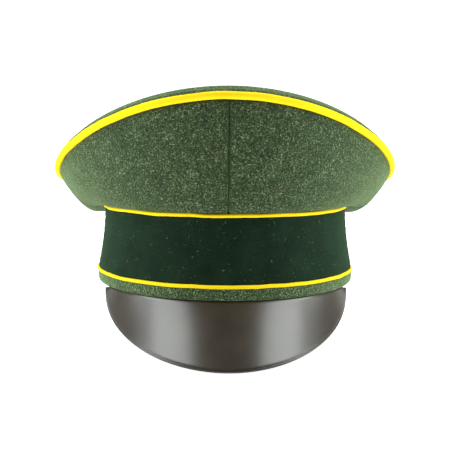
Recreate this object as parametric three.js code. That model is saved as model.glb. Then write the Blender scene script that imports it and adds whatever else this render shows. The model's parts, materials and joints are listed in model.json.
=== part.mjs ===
// Military peaked cap, in millimetres, with +Z up.
// The cap is drawn as it is worn: X to the wearer's left, Y to the back, the hem in the plane z = 0.
// It is then laid as it rests on a table, on the visor's tip and the back of the hem.
import * as THREE from "three";
import { ParametricGeometry } from "three/addons/geometries/ParametricGeometry.js";
import { mergeVertices } from "three/addons/utils/BufferGeometryUtils.js";

// ---- Head band ----
const BAND_HALF_WIDTH = 84; // outside of the band at its narrowest, under the upper piping
const BAND_HALF_LENGTH = 101;
const BAND_FLARE_WIDTH = 5; // how much each half axis grows down to the hem
const BAND_FLARE_LENGTH = 4;
const BAND_FLARE_POWER = 1.8;
const LOWER_PIPING_Z = 7;
const UPPER_PIPING_Z = 49.7;
const BAND_CLOTH_THICK = 1.6;
const BAND_PIPING_RADIUS = 1.15;
const HEM_THICK = 1.5;
const HEM_FLANGE = 3.2; // how far the hem strip turns in under the band
const HEM_EDGE_ROUNDING = 1.4;
const STIFFENER_THICK = 1.2;
const STIFFENER_FOOT_Z = 1.9;

// ---- Crown ----
const RIM_HALF_WIDTH = 118.3; // centre line of the crown piping
const RIM_HALF_LENGTH = 134;
const RIM_CENTRE_Y = 16;
const RIM_Z_FRONT = 120.4;
const RIM_Z_SIDE = 68.8;
const RIM_Z_REAR = 58.5;
// Handles of the curve that a crown panel follows from band to rim, at the front, side and rear.
const CROWN_LOW_OUT = [9, 11.5, 28];
const CROWN_LOW_UP = [10, -4, -12];
const CROWN_SAG = 12; // the rear half of the wall sags this much more, from CROWN_SAG_FROM on
const CROWN_SAG_FROM = 78;
const CROWN_SAG_TO = 104;
const CROWN_HIGH_OUT = [0, -7.5, -3];
const CROWN_HIGH_UP = [-26, -16, -17.5];
const CROWN_PIPING_RADIUS = 2.2;
const CROWN_CLOTH_THICK = 1.8;
const CROWN_ROOT_Z = UPPER_PIPING_Z + 1.75;
const CROWN_PIPING_FLAT = 1.1; // from the piping's centre to its flat seam side
const TOP_ROLL_RADIUS = 4.8; // the top panel's edge rolls over the wire before it meets the piping
const TOP_ROLL_FADE = 0.25; // how soon the roll's height dies away inwards, as a share of the rim
const WIRE_INSET = 3.4; // from the piping's centre line in to the wire
const WIRE_RAISE = [-0.2, 1, 0.6]; // and up to it, at the front, side and rear
const WIRE_RADIUS = 1;
const WIRE_SLEEVE_RADIUS = 1.9;
const WIRE_SLEEVE_THICK = 0.5;
const CANVAS_THICK = 0.8;
const TAPE_THICK = 0.5;
const TAPE_HALF_ANGLE = 5;
const STAY_THICK = 0.9;
const STAY_HALF_ANGLE = 4.5;

// ---- Visor ----
const VISOR_REACH_Y = -139; // tip of the visor
const VISOR_DROP = 36.3; // tip below the hem
const VISOR_HALF_WIDTH = 80;
const VISOR_CORNER_Y = -48;
const VISOR_ROOT_ANGLE = 62;
const VISOR_THICK = 1.6;
const VISOR_BULGE = 0.3;
const VISOR_TAPER = 1.5; // above 1, the sides of the visor's outline are drawn in
const VISOR_SWEEP = 0.68; // below 1, its lower corners are fuller
const VISOR_FLANGE_TOP_Z = 11;
const VISOR_BEAD_RADIUS = 1.15;
const VISOR_LINING_THICK = 0.7;

// ---- Inside of the cap ----
const SWEATBAND_THICK = 1.2;
const SWEATBAND_INSET = 3.95; // from the band's outer face, at the back
const SWEATBAND_LEAN = 1.1; // further in at the top, over the lining's edge
const SWEATBAND_FRONT_ROOM = 2; // further in at the front, over the visor's flange and the pad
const SWEATBAND_FOOT_Z = 3.4;
const SWEATBAND_TOP_Z = 43;
const SWEATBAND_JOINT_ANGLE = 1.2; // half of the opening at the back
const REED_RADIUS = 1;
const PAD_THICK = 2.1;
const PAD_HALF_ANGLE = 52.5;
const PAD_FOOT_Z = 14;
const PAD_TOP_Z = 35;
const LINING_THICK = 0.6;
const LINING_FOOT_Z = 37;
const LINING_CENTRE_Z = 67; // ceiling of the head space above the hem, at the middle
const LINING_SLOPE = 0.2; // fall of the ceiling towards the back
const LINING_CENTRE_Y = 4;
const LINING_TOP_HALF_WIDTH = 76;
const LINING_TOP_HALF_LENGTH = 90;
const SHIELD_HALF_WIDTH = 42;
const SHIELD_HALF_LENGTH = 55;
const SHIELD_THICK = 0.5;
const SHIELD_CORD_RADIUS = 0.7;
const LABEL_HALF_WIDTH = 17;
const LABEL_HALF_HEIGHT = 9;
const LABEL_CORNER = 2;
const LABEL_THICK = 0.5;
const LABEL_Y = 72; // behind the middle of the ceiling

// ---- Making ----
const CLEARANCE = 0.35; // between neighbouring pieces
const RING_STEPS = 36;
const STEP = 360 / RING_STEPS;
const SEAM_HALF_ANGLE = 0.12; // half of the slit between two crown panels
const MERGE = 1e-3;

const MATERIALS = {
  crownWool: { color: 0x6f7d63, roughness: 0.95, metalness: 0 },
  bandFelt: { color: 0x1c3626, roughness: 1, metalness: 0 },
  pipingFelt: { color: 0xf6dc1e, roughness: 0.85, metalness: 0 },
  visorFibre: { color: 0x1b1a18, roughness: 0.35, metalness: 0 },
  visorCloth: { color: 0x2a332b, roughness: 0.8, metalness: 0 },
  springSteel: { color: 0x8d9094, roughness: 0.35, metalness: 1 },
  paper: { color: 0xcdbd98, roughness: 0.9, metalness: 0 },
  board: { color: 0x9a8361, roughness: 0.85, metalness: 0 },
  canvas: { color: 0xb9a98a, roughness: 0.95, metalness: 0 },
  tape: { color: 0x2d2d2a, roughness: 0.8, metalness: 0 },
  leather: { color: 0x8a5a34, roughness: 0.55, metalness: 0 },
  satin: { color: 0xb98a4d, roughness: 0.4, metalness: 0 },
  foam: { color: 0x55524a, roughness: 1, metalness: 0 },
  celluloid: { color: 0xe9e2c9, roughness: 0.15, metalness: 0 },
};

const SIDES = { right: -1, left: 1 }; // of the wearer

// ---- Solids ----

/** A closed solid from rows of points: each row runs round a section or from pole to pole. */
function solidFromRows(rows) {
  const slices = rows.length - 1;
  const stacks = rows[0].length - 1;
  const pick = (u, v, target) =>
    target.copy(rows[Math.round(u * slices)][Math.round(v * stacks)]);
  const sheet = new ParametricGeometry(pick, slices, stacks);
  sheet.deleteAttribute("normal");
  sheet.deleteAttribute("uv");
  const joined = mergeVertices(sheet, MERGE);
  const corners = Array.from(joined.index.array);
  const kept = [];
  for (let k = 0; k < corners.length; k += 3) {
    const [a, b, c] = corners.slice(k, k + 3);
    if (a !== b && b !== c && c !== a) kept.push(a, b, c);
  }
  joined.setIndex(kept);
  joined.computeVertexNormals();
  return joined;
}

/** A section's loop: up its outer points, back down its inner ones. */
function loopOf({ outer, inner }) {
  return [...outer, ...[...inner].reverse(), outer[0]];
}

/** The same section with no thickness, which closes the end of an open sweep. */
function flatLoopOf({ outer, inner }) {
  const middle = outer.map((point, k) => point.clone().lerp(inner[k], 0.5));
  return loopOf({ outer: middle, inner: middle });
}

function ringAngles() {
  return Array.from({ length: RING_STEPS }, (_, k) => k * STEP);
}

/** The ends of an arc, with every ring station that lies between them. */
function arcAngles(from, to) {
  const first = Math.floor(from / STEP) + 1;
  const between = [];
  for (let k = first; k * STEP < to - MERGE; k += 1) between.push(k * STEP);
  return [from, ...between, to];
}

function ringSolid(sectionAt) {
  const rows = ringAngles().map((angle) => loopOf(sectionAt(angle)));
  return solidFromRows([...rows, rows[0]]);
}

/** A section between two ring stations, on the flat facets that join them. */
function facetSection(angle, sectionAt) {
  const station = Math.floor(angle / STEP + MERGE) * STEP;
  const share = (angle - station) / STEP;
  const before = sectionAt(station);
  const after = sectionAt(station + STEP);
  const blend = (points, others) => points.map((point, k) => point.clone().lerp(others[k], share));
  return { outer: blend(before.outer, after.outer), inner: blend(before.inner, after.inner) };
}

function arcSolid(from, to, sectionAt) {
  const sections = arcAngles(from, to).map((angle) => facetSection(angle, sectionAt));
  return solidFromRows([
    flatLoopOf(sections[0]),
    ...sections.map(loopOf),
    flatLoopOf(sections[sections.length - 1]),
  ]);
}

/** A disc-like solid: each section runs from the middle below, out round the edge, to the middle above. */
function discSolid(profileAt) {
  const rows = ringAngles().map(profileAt);
  return solidFromRows([...rows, rows[0]]);
}

/** A round section, as the outer and inner halves of a circle round a centre. */
function roundSection(centre, out, up, radius, sides = 8) {
  const at = (k) => {
    const turn = -Math.PI / 2 + (k * 2 * Math.PI) / sides;
    return centre
      .clone()
      .addScaledVector(out, radius * Math.cos(turn))
      .addScaledVector(up, radius * Math.sin(turn));
  };
  const half = sides / 2;
  const outer = Array.from({ length: half }, (_, k) => at(k + 0.5));
  const inner = Array.from({ length: half }, (_, k) => at(sides - k - 0.5));
  return { outer, inner };
}

// ---- Shape of the cap ----

const UP = new THREE.Vector3(0, 0, 1);

function radians(angle) {
  return THREE.MathUtils.degToRad(angle);
}

/** A point of a level oval; angle 0 is the front, 90 the wearer's left, 180 the back. */
function oval(angle, halfWidth, halfLength, z, centreY = 0) {
  const turn = radians(angle);
  return new THREE.Vector3(
    halfWidth * Math.sin(turn),
    centreY - halfLength * Math.cos(turn),
    z,
  );
}

/** The level direction that points out of an oval. */
function outward(angle, halfWidth, halfLength) {
  const turn = radians(angle);
  return new THREE.Vector3(
    Math.sin(turn) / halfWidth,
    -Math.cos(turn) / halfLength,
    0,
  ).normalize();
}

/** A value that varies smoothly round the cap, with its front, side and rear values given. */
function around(angle, front, side, rear) {
  const turn = radians(angle);
  const ends = (front + rear) / 2;
  const mean = (ends + side) / 2;
  const wave = (ends - side) / 2;
  return mean + ((front - rear) / 2) * Math.cos(turn) + wave * Math.cos(2 * turn);
}

/** The band's outer surface, or a layer set in from it. */
function bandWall(angle, z, inset) {
  const height = UPPER_PIPING_Z - LOWER_PIPING_Z;
  const drop = THREE.MathUtils.clamp((UPPER_PIPING_Z - z) / height, 0, 1);
  const flare = drop ** BAND_FLARE_POWER;
  return oval(
    angle,
    BAND_HALF_WIDTH + BAND_FLARE_WIDTH * flare - inset,
    BAND_HALF_LENGTH + BAND_FLARE_LENGTH * flare - inset,
    z,
  );
}

function bandLayer(angle, heights, inset, thick) {
  return {
    outer: heights.map((z) => bandWall(angle, z, inset)),
    inner: heights.map((z) => bandWall(angle, z, inset + thick)),
  };
}

function steps(from, to, count) {
  return Array.from({ length: count + 1 }, (_, k) => from + ((to - from) * k) / count);
}

function rimZ(angle) {
  return around(angle, RIM_Z_FRONT, RIM_Z_SIDE, RIM_Z_REAR);
}

function rimPoint(angle) {
  return oval(angle, RIM_HALF_WIDTH, RIM_HALF_LENGTH, rimZ(angle), RIM_CENTRE_Y);
}

/** A saddle stretched over the rim, at a share of the rim's radius. */
function saddleZ(angle, share) {
  const turn = radians(angle);
  const ends = (RIM_Z_FRONT + RIM_Z_REAR) / 2;
  const mean = (ends + RIM_Z_SIDE) / 2;
  const wave = (ends - RIM_Z_SIDE) / 2;
  const fall = (RIM_Z_FRONT - RIM_Z_REAR) / 2;
  return mean + fall * share * Math.cos(turn) + wave * share ** 2 * Math.cos(2 * turn);
}

/** Height of the top panel's outer face: the saddle, lifted near the rim to meet the roll. */
function topZ(angle, share) {
  const rollShare = 1 - WIRE_INSET / RIM_HALF_WIDTH;
  const rollTop = rimZ(angle) + around(angle, ...WIRE_RAISE) + TOP_ROLL_RADIUS;
  const lift = rollTop - saddleZ(angle, rollShare);
  const fade = (share / rollShare) * Math.exp((share - rollShare) / TOP_ROLL_FADE);
  return saddleZ(angle, share) + lift * fade;
}

function topPoint(angle, share) {
  return oval(
    angle,
    RIM_HALF_WIDTH * share,
    RIM_HALF_LENGTH * share,
    topZ(angle, share),
    RIM_CENTRE_Y,
  );
}

/** The line that a crown panel follows from the band up to the rim. */
function crownCurve(angle) {
  const root = oval(angle, BAND_HALF_WIDTH + 0.2, BAND_HALF_LENGTH + 0.2, CROWN_ROOT_Z);
  const rootOut = outward(angle, BAND_HALF_WIDTH, BAND_HALF_LENGTH);
  const rim = rimPoint(angle);
  const fromFront = Math.abs(THREE.MathUtils.euclideanModulo(angle + 180, 360) - 180);
  const sag = THREE.MathUtils.smoothstep(fromFront, CROWN_SAG_FROM, CROWN_SAG_TO) * CROWN_SAG;
  const low = root
    .clone()
    .addScaledVector(rootOut, around(angle, ...CROWN_LOW_OUT))
    .addScaledVector(UP, around(angle, ...CROWN_LOW_UP) - sag);
  const high = rim
    .clone()
    .addScaledVector(rimOutward(angle), around(angle, ...CROWN_HIGH_OUT))
    .addScaledVector(UP, around(angle, ...CROWN_HIGH_UP));
  const edge = rim.clone().lerp(high, (CROWN_PIPING_RADIUS + CLEARANCE) / rim.distanceTo(high));
  return new THREE.CubicBezierCurve3(root, low, high, edge);
}

/** A point on a crown panel, set in from its outer face by depth. */
function crownPoint(angle, share, depth) {
  const turnStep = 0.5;
  const shareStep = 0.01;
  const curve = crownCurve(angle);
  const point = curve.getPoint(share);
  const across = crownCurve(angle + turnStep)
    .getPoint(share)
    .sub(crownCurve(angle - turnStep).getPoint(share));
  const along = curve
    .getPoint(Math.min(1, share + shareStep))
    .sub(curve.getPoint(Math.max(0, share - shareStep)));
  const normal = across.cross(along).normalize();
  return point.addScaledVector(normal, -depth);
}

function crownLayer(angle, shares, depth, thick) {
  return {
    outer: shares.map((share) => crownPoint(angle, share, depth)),
    inner: shares.map((share) => crownPoint(angle, share, depth + thick)),
  };
}

function rimOutward(angle) {
  return outward(angle, RIM_HALF_WIDTH, RIM_HALF_LENGTH);
}

/** The wire's centre line, just inside the piping and a little above it. */
function wirePoint(angle) {
  return rimPoint(angle)
    .addScaledVector(rimOutward(angle), -WIRE_INSET)
    .addScaledVector(UP, around(angle, ...WIRE_RAISE));
}

// ---- Crown pieces ----

const CROWN_PANEL_SHARES = steps(0, 1, 8);
const CANVAS_SHARES = steps(0.06, 0.66, 5);
const TAPE_DEPTH = CROWN_CLOTH_THICK + 0.8; // the panels' facets are twisted, so it needs more
const CANVAS_DEPTH = TAPE_DEPTH + TAPE_THICK + 2 * CLEARANCE;
const STAY_DEPTH = CANVAS_DEPTH + CANVAS_THICK + CLEARANCE;

function crownPanel(from, to) {
  return arcSolid(from + SEAM_HALF_ANGLE, to - SEAM_HALF_ANGLE, (angle) =>
    crownLayer(angle, CROWN_PANEL_SHARES, 0, CROWN_CLOTH_THICK),
  );
}

/** A saddle-shaped cloth whose edge rolls down over the wire to the piping. */
function crownTopPanel() {
  const shares = [0.2, 0.4, 0.6, 0.8, 0.92];
  const rollTurns = [90, 69, 48];
  const face = (angle, depth) => {
    const flat = shares.map((share) => topPoint(angle, share).addScaledVector(UP, -depth));
    const radius = TOP_ROLL_RADIUS - depth;
    const roll = rollTurns.map((turn) =>
      wirePoint(angle)
        .addScaledVector(rimOutward(angle), radius * Math.cos(radians(turn)))
        .addScaledVector(UP, radius * Math.sin(radians(turn))),
    );
    return [topPoint(angle, 0).addScaledVector(UP, -depth), ...flat, ...roll];
  };
  return discSolid((angle) => [...face(angle, CROWN_CLOTH_THICK), ...face(angle, 0).reverse()]);
}

/** A thick round cord in felt, flat on the side that is sewn in. */
function crownPiping() {
  return ringSolid((angle) => {
    const centre = rimPoint(angle);
    const out = rimOutward(angle);
    const section = roundSection(centre, out, UP, CROWN_PIPING_RADIUS);
    for (const point of section.inner) {
      const inset = centre.clone().sub(point).dot(out);
      point.addScaledVector(out, Math.max(0, inset - CROWN_PIPING_FLAT));
    }
    return section;
  });
}

function crownWire() {
  return ringSolid((angle) => roundSection(wirePoint(angle), rimOutward(angle), UP, WIRE_RADIUS, 6));
}

/** A paper tube with a slit on its inner side, through which the wire goes in. */
function crownWireSleeve() {
  const slitHalfAngle = 30;
  const turns = steps(slitHalfAngle, 360 - slitHalfAngle, 6);
  return ringSolid((angle) => {
    const centre = wirePoint(angle);
    const inward = rimOutward(angle).negate();
    const circle = (radius) =>
      turns.map((turn) =>
        centre
          .clone()
          .addScaledVector(inward, radius * Math.cos(radians(turn)))
          .addScaledVector(UP, -radius * Math.sin(radians(turn))),
      );
    return {
      outer: circle(WIRE_SLEEVE_RADIUS),
      inner: circle(WIRE_SLEEVE_RADIUS - WIRE_SLEEVE_THICK),
    };
  });
}

function crownCanvas() {
  return ringSolid((angle) => crownLayer(angle, CANVAS_SHARES, CANVAS_DEPTH, CANVAS_THICK));
}

function seamTape(middle) {
  return arcSolid(middle - TAPE_HALF_ANGLE, middle + TAPE_HALF_ANGLE, (angle) =>
    crownLayer(angle, CANVAS_SHARES, TAPE_DEPTH, TAPE_THICK),
  );
}

function frontStay() {
  const shares = steps(0.1, 0.74, 5);
  return arcSolid(-STAY_HALF_ANGLE, STAY_HALF_ANGLE, (angle) =>
    crownLayer(angle, shares, STAY_DEPTH, STAY_THICK),
  );
}

// ---- Band pieces ----

function bandCloth() {
  const room = BAND_PIPING_RADIUS + CLEARANCE;
  const heights = steps(LOWER_PIPING_Z + room, UPPER_PIPING_Z - room, 5);
  return ringSolid((angle) => bandLayer(angle, heights, 0, BAND_CLOTH_THICK));
}

function bandPiping(z) {
  return ringSolid((angle) =>
    roundSection(
      bandWall(angle, z, 0.45),
      outward(angle, BAND_HALF_WIDTH, BAND_HALF_LENGTH),
      UP,
      BAND_PIPING_RADIUS,
    ),
  );
}

/** A cloth strip round the foot of the band, which turns in under the stiffener. */
function hemStrip() {
  const top = LOWER_PIPING_Z - BAND_PIPING_RADIUS - CLEARANCE;
  return ringSolid((angle) => ({
    outer: [
      bandWall(angle, 0, HEM_FLANGE),
      bandWall(angle, 0, HEM_EDGE_ROUNDING),
      bandWall(angle, 0.5, 0.5),
      bandWall(angle, 1.6, 0.1),
      bandWall(angle, top, 0.1),
    ],
    inner: [
      bandWall(angle, HEM_THICK, HEM_FLANGE),
      bandWall(angle, HEM_THICK, 2.4),
      bandWall(angle, HEM_THICK + 0.1, 2.0),
      bandWall(angle, HEM_THICK + 0.5, HEM_THICK + 0.1),
      bandWall(angle, top, HEM_THICK + 0.1),
    ],
  }));
}

function bandStiffener() {
  const heights = steps(STIFFENER_FOOT_Z, UPPER_PIPING_Z - 1, 4);
  const inset = BAND_CLOTH_THICK + CLEARANCE;
  return ringSolid((angle) => bandLayer(angle, heights, inset, STIFFENER_THICK));
}

// ---- Visor pieces ----

const VISOR_FLANGE_INSET = HEM_FLANGE + CLEARANCE - 0.05;
const VISOR_SHARES = steps(0, 1, 5);

/** The visor's free edge: an oval in a plane that tips down to the front. */
function visorEdge(across) {
  const turn = radians(90 * across);
  return new THREE.Vector3(
    VISOR_HALF_WIDTH * Math.sin(turn),
    VISOR_CORNER_Y + (VISOR_REACH_Y - VISOR_CORNER_Y) * Math.cos(turn) ** VISOR_TAPER,
    -VISOR_DROP * Math.cos(turn) ** VISOR_SWEEP,
  );
}

/** Where the visor leaves the hem. */
function visorRoot(across) {
  return bandWall(VISOR_ROOT_ANGLE * across, -1.3, 0.6);
}

function visorNormal(across) {
  const reach = visorEdge(across).sub(visorRoot(across));
  if (reach.length() < 6) reach.set(0, 0, -1);
  const side = visorRoot(across + 0.01).sub(visorRoot(across - 0.01));
  return reach.cross(side).normalize();
}

/** A point of the visor from its root at share 0 to its edge at 1, set in from its upper face. */
function visorPoint(across, share, depth) {
  const normal = visorNormal(across);
  const narrowing = Math.cos(radians(90 * across));
  const bulge = 4 * share * (1 - share) * VISOR_BULGE * narrowing;
  return visorRoot(across)
    .lerp(visorEdge(across), share)
    .addScaledVector(normal, bulge - depth);
}

/** The share of the visor's width that leaves room for the bead on its edge. */
function visorEndShare(across, room) {
  const width = visorRoot(across).distanceTo(visorEdge(across));
  return Math.max(0.2, 1 - room / width);
}

/** A solid that runs across the visor, its section given by the share of the root's angle. */
function visorSolid(limit, sectionAt) {
  const end = VISOR_ROOT_ANGLE * limit;
  return arcSolid(-end, end, (angle) => sectionAt(angle / VISOR_ROOT_ANGLE));
}

function visorShell() {
  const room = 2 * VISOR_BEAD_RADIUS + 3 * CLEARANCE;
  return visorSolid(0.93, (across) => {
    const angle = VISOR_ROOT_ANGLE * across;
    const end = visorEndShare(across, room);
    const shares = VISOR_SHARES.map((share) => share * end).reverse();
    const flange = VISOR_FLANGE_INSET;
    const outer = shares.map((share) => visorPoint(across, share, 0));
    outer.push(bandWall(angle, -0.45, flange - 0.3));
    outer.push(bandWall(angle, 0.6, flange));
    outer.push(bandWall(angle, VISOR_FLANGE_TOP_Z, flange));
    const inner = shares.map((share) => visorPoint(across, share, VISOR_THICK));
    inner.push(bandWall(angle, -2.3, flange + 0.4));
    inner.push(bandWall(angle, -0.8, flange + VISOR_THICK));
    inner.push(bandWall(angle, VISOR_FLANGE_TOP_Z, flange + VISOR_THICK));
    return { outer, inner };
  });
}

function visorLining() {
  const depth = VISOR_THICK + 1.4 * CLEARANCE;
  return visorSolid(0.78, (across) => {
    const end = visorEndShare(across, 4.5);
    const shares = steps(0.14, end, 5).reverse();
    return {
      outer: shares.map((share) => visorPoint(across, share, depth)),
      inner: shares.map((share) => visorPoint(across, share, depth + VISOR_LINING_THICK)),
    };
  });
}

function beadSection(across) {
  const normal = visorNormal(across);
  const out = visorEdge(across).sub(visorRoot(across)).normalize();
  const centre = visorEdge(across)
    .addScaledVector(out, -VISOR_BEAD_RADIUS)
    .addScaledVector(normal, -VISOR_THICK / 2);
  return roundSection(centre, out, normal, VISOR_BEAD_RADIUS);
}

function visorBead() {
  return visorSolid(0.87, beadSection);
}

// ---- Pieces inside the head band ----

/** How far the sweatband stands in from the band: more at the front, where the visor and pad are. */
function sweatbandInset(angle, z) {
  const turn = Math.abs(THREE.MathUtils.euclideanModulo(angle + 180, 360) - 180);
  const front = 1 - THREE.MathUtils.smoothstep(turn, VISOR_ROOT_ANGLE, 1.5 * VISOR_ROOT_ANGLE);
  const rise = THREE.MathUtils.smoothstep(z, SWEATBAND_FOOT_Z, SWEATBAND_TOP_Z);
  return SWEATBAND_INSET + SWEATBAND_LEAN * rise + SWEATBAND_FRONT_ROOM * front;
}

function sweatbandSolid(sectionAt) {
  return arcSolid(-180 + SWEATBAND_JOINT_ANGLE, 180 - SWEATBAND_JOINT_ANGLE, sectionAt);
}

function sweatband() {
  const heights = steps(SWEATBAND_FOOT_Z, SWEATBAND_TOP_Z, 5);
  return sweatbandSolid((angle) => ({
    outer: heights.map((z) => bandWall(angle, z, sweatbandInset(angle, z))),
    inner: heights.map((z) => bandWall(angle, z, sweatbandInset(angle, z) + SWEATBAND_THICK)),
  }));
}

function sweatbandReed() {
  return sweatbandSolid((angle) => {
    const inset = sweatbandInset(angle, SWEATBAND_FOOT_Z) + SWEATBAND_THICK / 2;
    const z = SWEATBAND_FOOT_Z - REED_RADIUS - CLEARANCE;
    const out = outward(angle, BAND_HALF_WIDTH, BAND_HALF_LENGTH);
    return roundSection(bandWall(angle, z, inset), out, UP, REED_RADIUS, 6);
  });
}

function foreheadPad() {
  const heights = steps(PAD_FOOT_Z, PAD_TOP_Z, 3);
  const inset = BAND_CLOTH_THICK + STIFFENER_THICK + 2 * CLEARANCE;
  return arcSolid(-PAD_HALF_ANGLE, PAD_HALF_ANGLE, (angle) =>
    bandLayer(angle, heights, inset, PAD_THICK),
  );
}

/** A flat bow of thin cord that closes the sweatband's joint at the back. */
function sweatbandBow() {
  const bow = new THREE.Shape();
  bow.moveTo(0, 1.6);
  bow.bezierCurveTo(4, 5.5, 10, 5, 10.5, 1.2);
  bow.bezierCurveTo(10.5, -1.4, 5, -1.2, 2.2, -1.2);
  bow.lineTo(5.4, -9.5);
  bow.lineTo(3.4, -10.2);
  bow.lineTo(0, -2.4);
  bow.lineTo(-3.4, -10.2);
  bow.lineTo(-5.4, -9.5);
  bow.lineTo(-2.2, -1.2);
  bow.bezierCurveTo(-5, -1.2, -10.5, -1.4, -10.5, 1.2);
  bow.bezierCurveTo(-10, 5, -4, 5.5, 0, 1.6);
  return new THREE.ExtrudeGeometry(bow, { depth: 1, bevelEnabled: false, curveSegments: 6 });
}

function sizeLabel() {
  const halfWidth = LABEL_HALF_WIDTH;
  const halfHeight = LABEL_HALF_HEIGHT;
  const corner = LABEL_CORNER;
  const tag = new THREE.Shape();
  tag.moveTo(-halfWidth + corner, -halfHeight);
  tag.lineTo(halfWidth - corner, -halfHeight);
  tag.absarc(halfWidth - corner, -halfHeight + corner, corner, -Math.PI / 2, 0);
  tag.lineTo(halfWidth, halfHeight - corner);
  tag.absarc(halfWidth - corner, halfHeight - corner, corner, 0, Math.PI / 2);
  tag.lineTo(-halfWidth + corner, halfHeight);
  tag.absarc(-halfWidth + corner, halfHeight - corner, corner, Math.PI / 2, Math.PI);
  tag.lineTo(-halfWidth, -halfHeight + corner);
  tag.absarc(-halfWidth + corner, -halfHeight + corner, corner, Math.PI, 1.5 * Math.PI);
  const options = { depth: LABEL_THICK, bevelEnabled: false, curveSegments: 3 };
  return new THREE.ExtrudeGeometry(tag, options);
}

// ---- Lining ----

function liningPlaneZ(y) {
  return LINING_CENTRE_Z - LINING_SLOPE * (y - RIM_CENTRE_Y);
}

function liningEdge(angle, inset) {
  const point = oval(
    angle,
    LINING_TOP_HALF_WIDTH - inset,
    LINING_TOP_HALF_LENGTH - inset,
    0,
    LINING_CENTRE_Y,
  );
  return point.setZ(liningPlaneZ(point.y));
}

function liningTop() {
  return discSolid((angle) => {
    const middle = new THREE.Vector3(0, LINING_CENTRE_Y, liningPlaneZ(LINING_CENTRE_Y));
    const edge = liningEdge(angle, 0);
    const raise = (point) => point.clone().addScaledVector(UP, LINING_THICK);
    const half = middle.clone().lerp(edge, 0.6);
    return [middle, half, edge, raise(edge), raise(half), raise(middle)];
  });
}

/** The lining's wall, from behind the sweatband up to the edge of the ceiling. */
function liningSide() {
  const inset = BAND_CLOTH_THICK + STIFFENER_THICK + 2 * CLEARANCE;
  return ringSolid((angle) => {
    const wall = (extra) => {
      const foot = bandWall(angle, LINING_FOOT_Z, inset + extra);
      const knee = bandWall(angle, UPPER_PIPING_Z - 1, inset + extra);
      const edge = liningEdge(angle, extra);
      edge.z -= CLEARANCE + 0.1;
      const bend = knee.clone().lerp(edge, 0.5);
      bend.addScaledVector(outward(angle, BAND_HALF_WIDTH, BAND_HALF_LENGTH), 0.8);
      return [foot, knee, bend, edge];
    };
    return { outer: wall(0), inner: wall(LINING_THICK) };
  });
}

function diamond(halfWidth, halfLength, corner) {
  const shape = new THREE.Shape();
  const ends = [
    [0, -halfLength],
    [halfWidth, 0],
    [0, halfLength],
    [-halfWidth, 0],
  ];
  const between = (a, b, share) => [a[0] + (b[0] - a[0]) * share, a[1] + (b[1] - a[1]) * share];
  ends.forEach((end, k) => {
    const before = between(end, ends[(k + 3) % 4], corner);
    const after = between(end, ends[(k + 1) % 4], corner);
    if (k === 0) shape.moveTo(...before);
    else shape.lineTo(...before);
    shape.quadraticCurveTo(...end, ...after);
  });
  shape.closePath();
  return shape;
}

function sweatShield() {
  const outline = diamond(SHIELD_HALF_WIDTH, SHIELD_HALF_LENGTH, 0.12);
  const options = { depth: SHIELD_THICK, bevelEnabled: false, curveSegments: 4 };
  return new THREE.ExtrudeGeometry(outline, options);
}

/** A thin cord stitched round the shield's edge. */
function shieldCord() {
  const grow = SHIELD_CORD_RADIUS + CLEARANCE;
  const outline = diamond(SHIELD_HALF_WIDTH + 2.9 * grow, SHIELD_HALF_LENGTH + 2.9 * grow, 0.12);
  const hole = diamond(SHIELD_HALF_WIDTH + grow, SHIELD_HALF_LENGTH + grow, 0.12);
  outline.holes.push(hole);
  const options = { depth: 2 * SHIELD_CORD_RADIUS, bevelEnabled: false, curveSegments: 4 };
  return new THREE.ExtrudeGeometry(outline, options);
}

// ---- Assembly ----

const worn = new THREE.Group();

function add(name, geometry, material, parent = worn) {
  const mesh = new THREE.Mesh(geometry, new THREE.MeshStandardMaterial(MATERIALS[material]));
  mesh.name = name;
  parent.add(mesh);
  return mesh;
}

add("crown_top_panel", crownTopPanel(), "crownWool");
for (const [side, sign] of Object.entries(SIDES)) {
  const quarter = (from, to) => (sign > 0 ? crownPanel(from, to) : crownPanel(-to, -from));
  add(`crown_front_${side}_panel`, quarter(0, 90), "crownWool");
  add(`crown_rear_${side}_panel`, quarter(90, 180), "crownWool");
  add(`crown_${side}_seam_tape`, seamTape(90 * sign), "tape");
}
add("crown_front_seam_tape", seamTape(0), "tape");
add("crown_rear_seam_tape", seamTape(180), "tape");
add("crown_piping", crownPiping(), "pipingFelt");
add("crown_wire", crownWire(), "springSteel");
add("crown_wire_sleeve", crownWireSleeve(), "paper");
add("crown_canvas", crownCanvas(), "canvas");
add("crown_front_stay", frontStay(), "springSteel");

add("band_cloth", bandCloth(), "bandFelt");
add("band_upper_piping", bandPiping(UPPER_PIPING_Z), "pipingFelt");
add("band_lower_piping", bandPiping(LOWER_PIPING_Z), "pipingFelt");
add("band_hem_strip", hemStrip(), "crownWool");
add("band_stiffener", bandStiffener(), "board");

add("visor_shell", visorShell(), "visorFibre");
add("visor_lining", visorLining(), "visorCloth");
add("visor_edge_bead", visorBead(), "visorFibre");

add("sweatband", sweatband(), "leather");
add("sweatband_reed", sweatbandReed(), "leather");
add("forehead_pad", foreheadPad(), "foam");
const backWall = BAND_HALF_LENGTH - sweatbandInset(180, SWEATBAND_TOP_Z) - SWEATBAND_THICK;
const bow = add("sweatband_bow", sweatbandBow(), "tape");
bow.rotation.x = Math.PI / 2;
bow.position.set(0, backWall - 0.3, 30);

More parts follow.
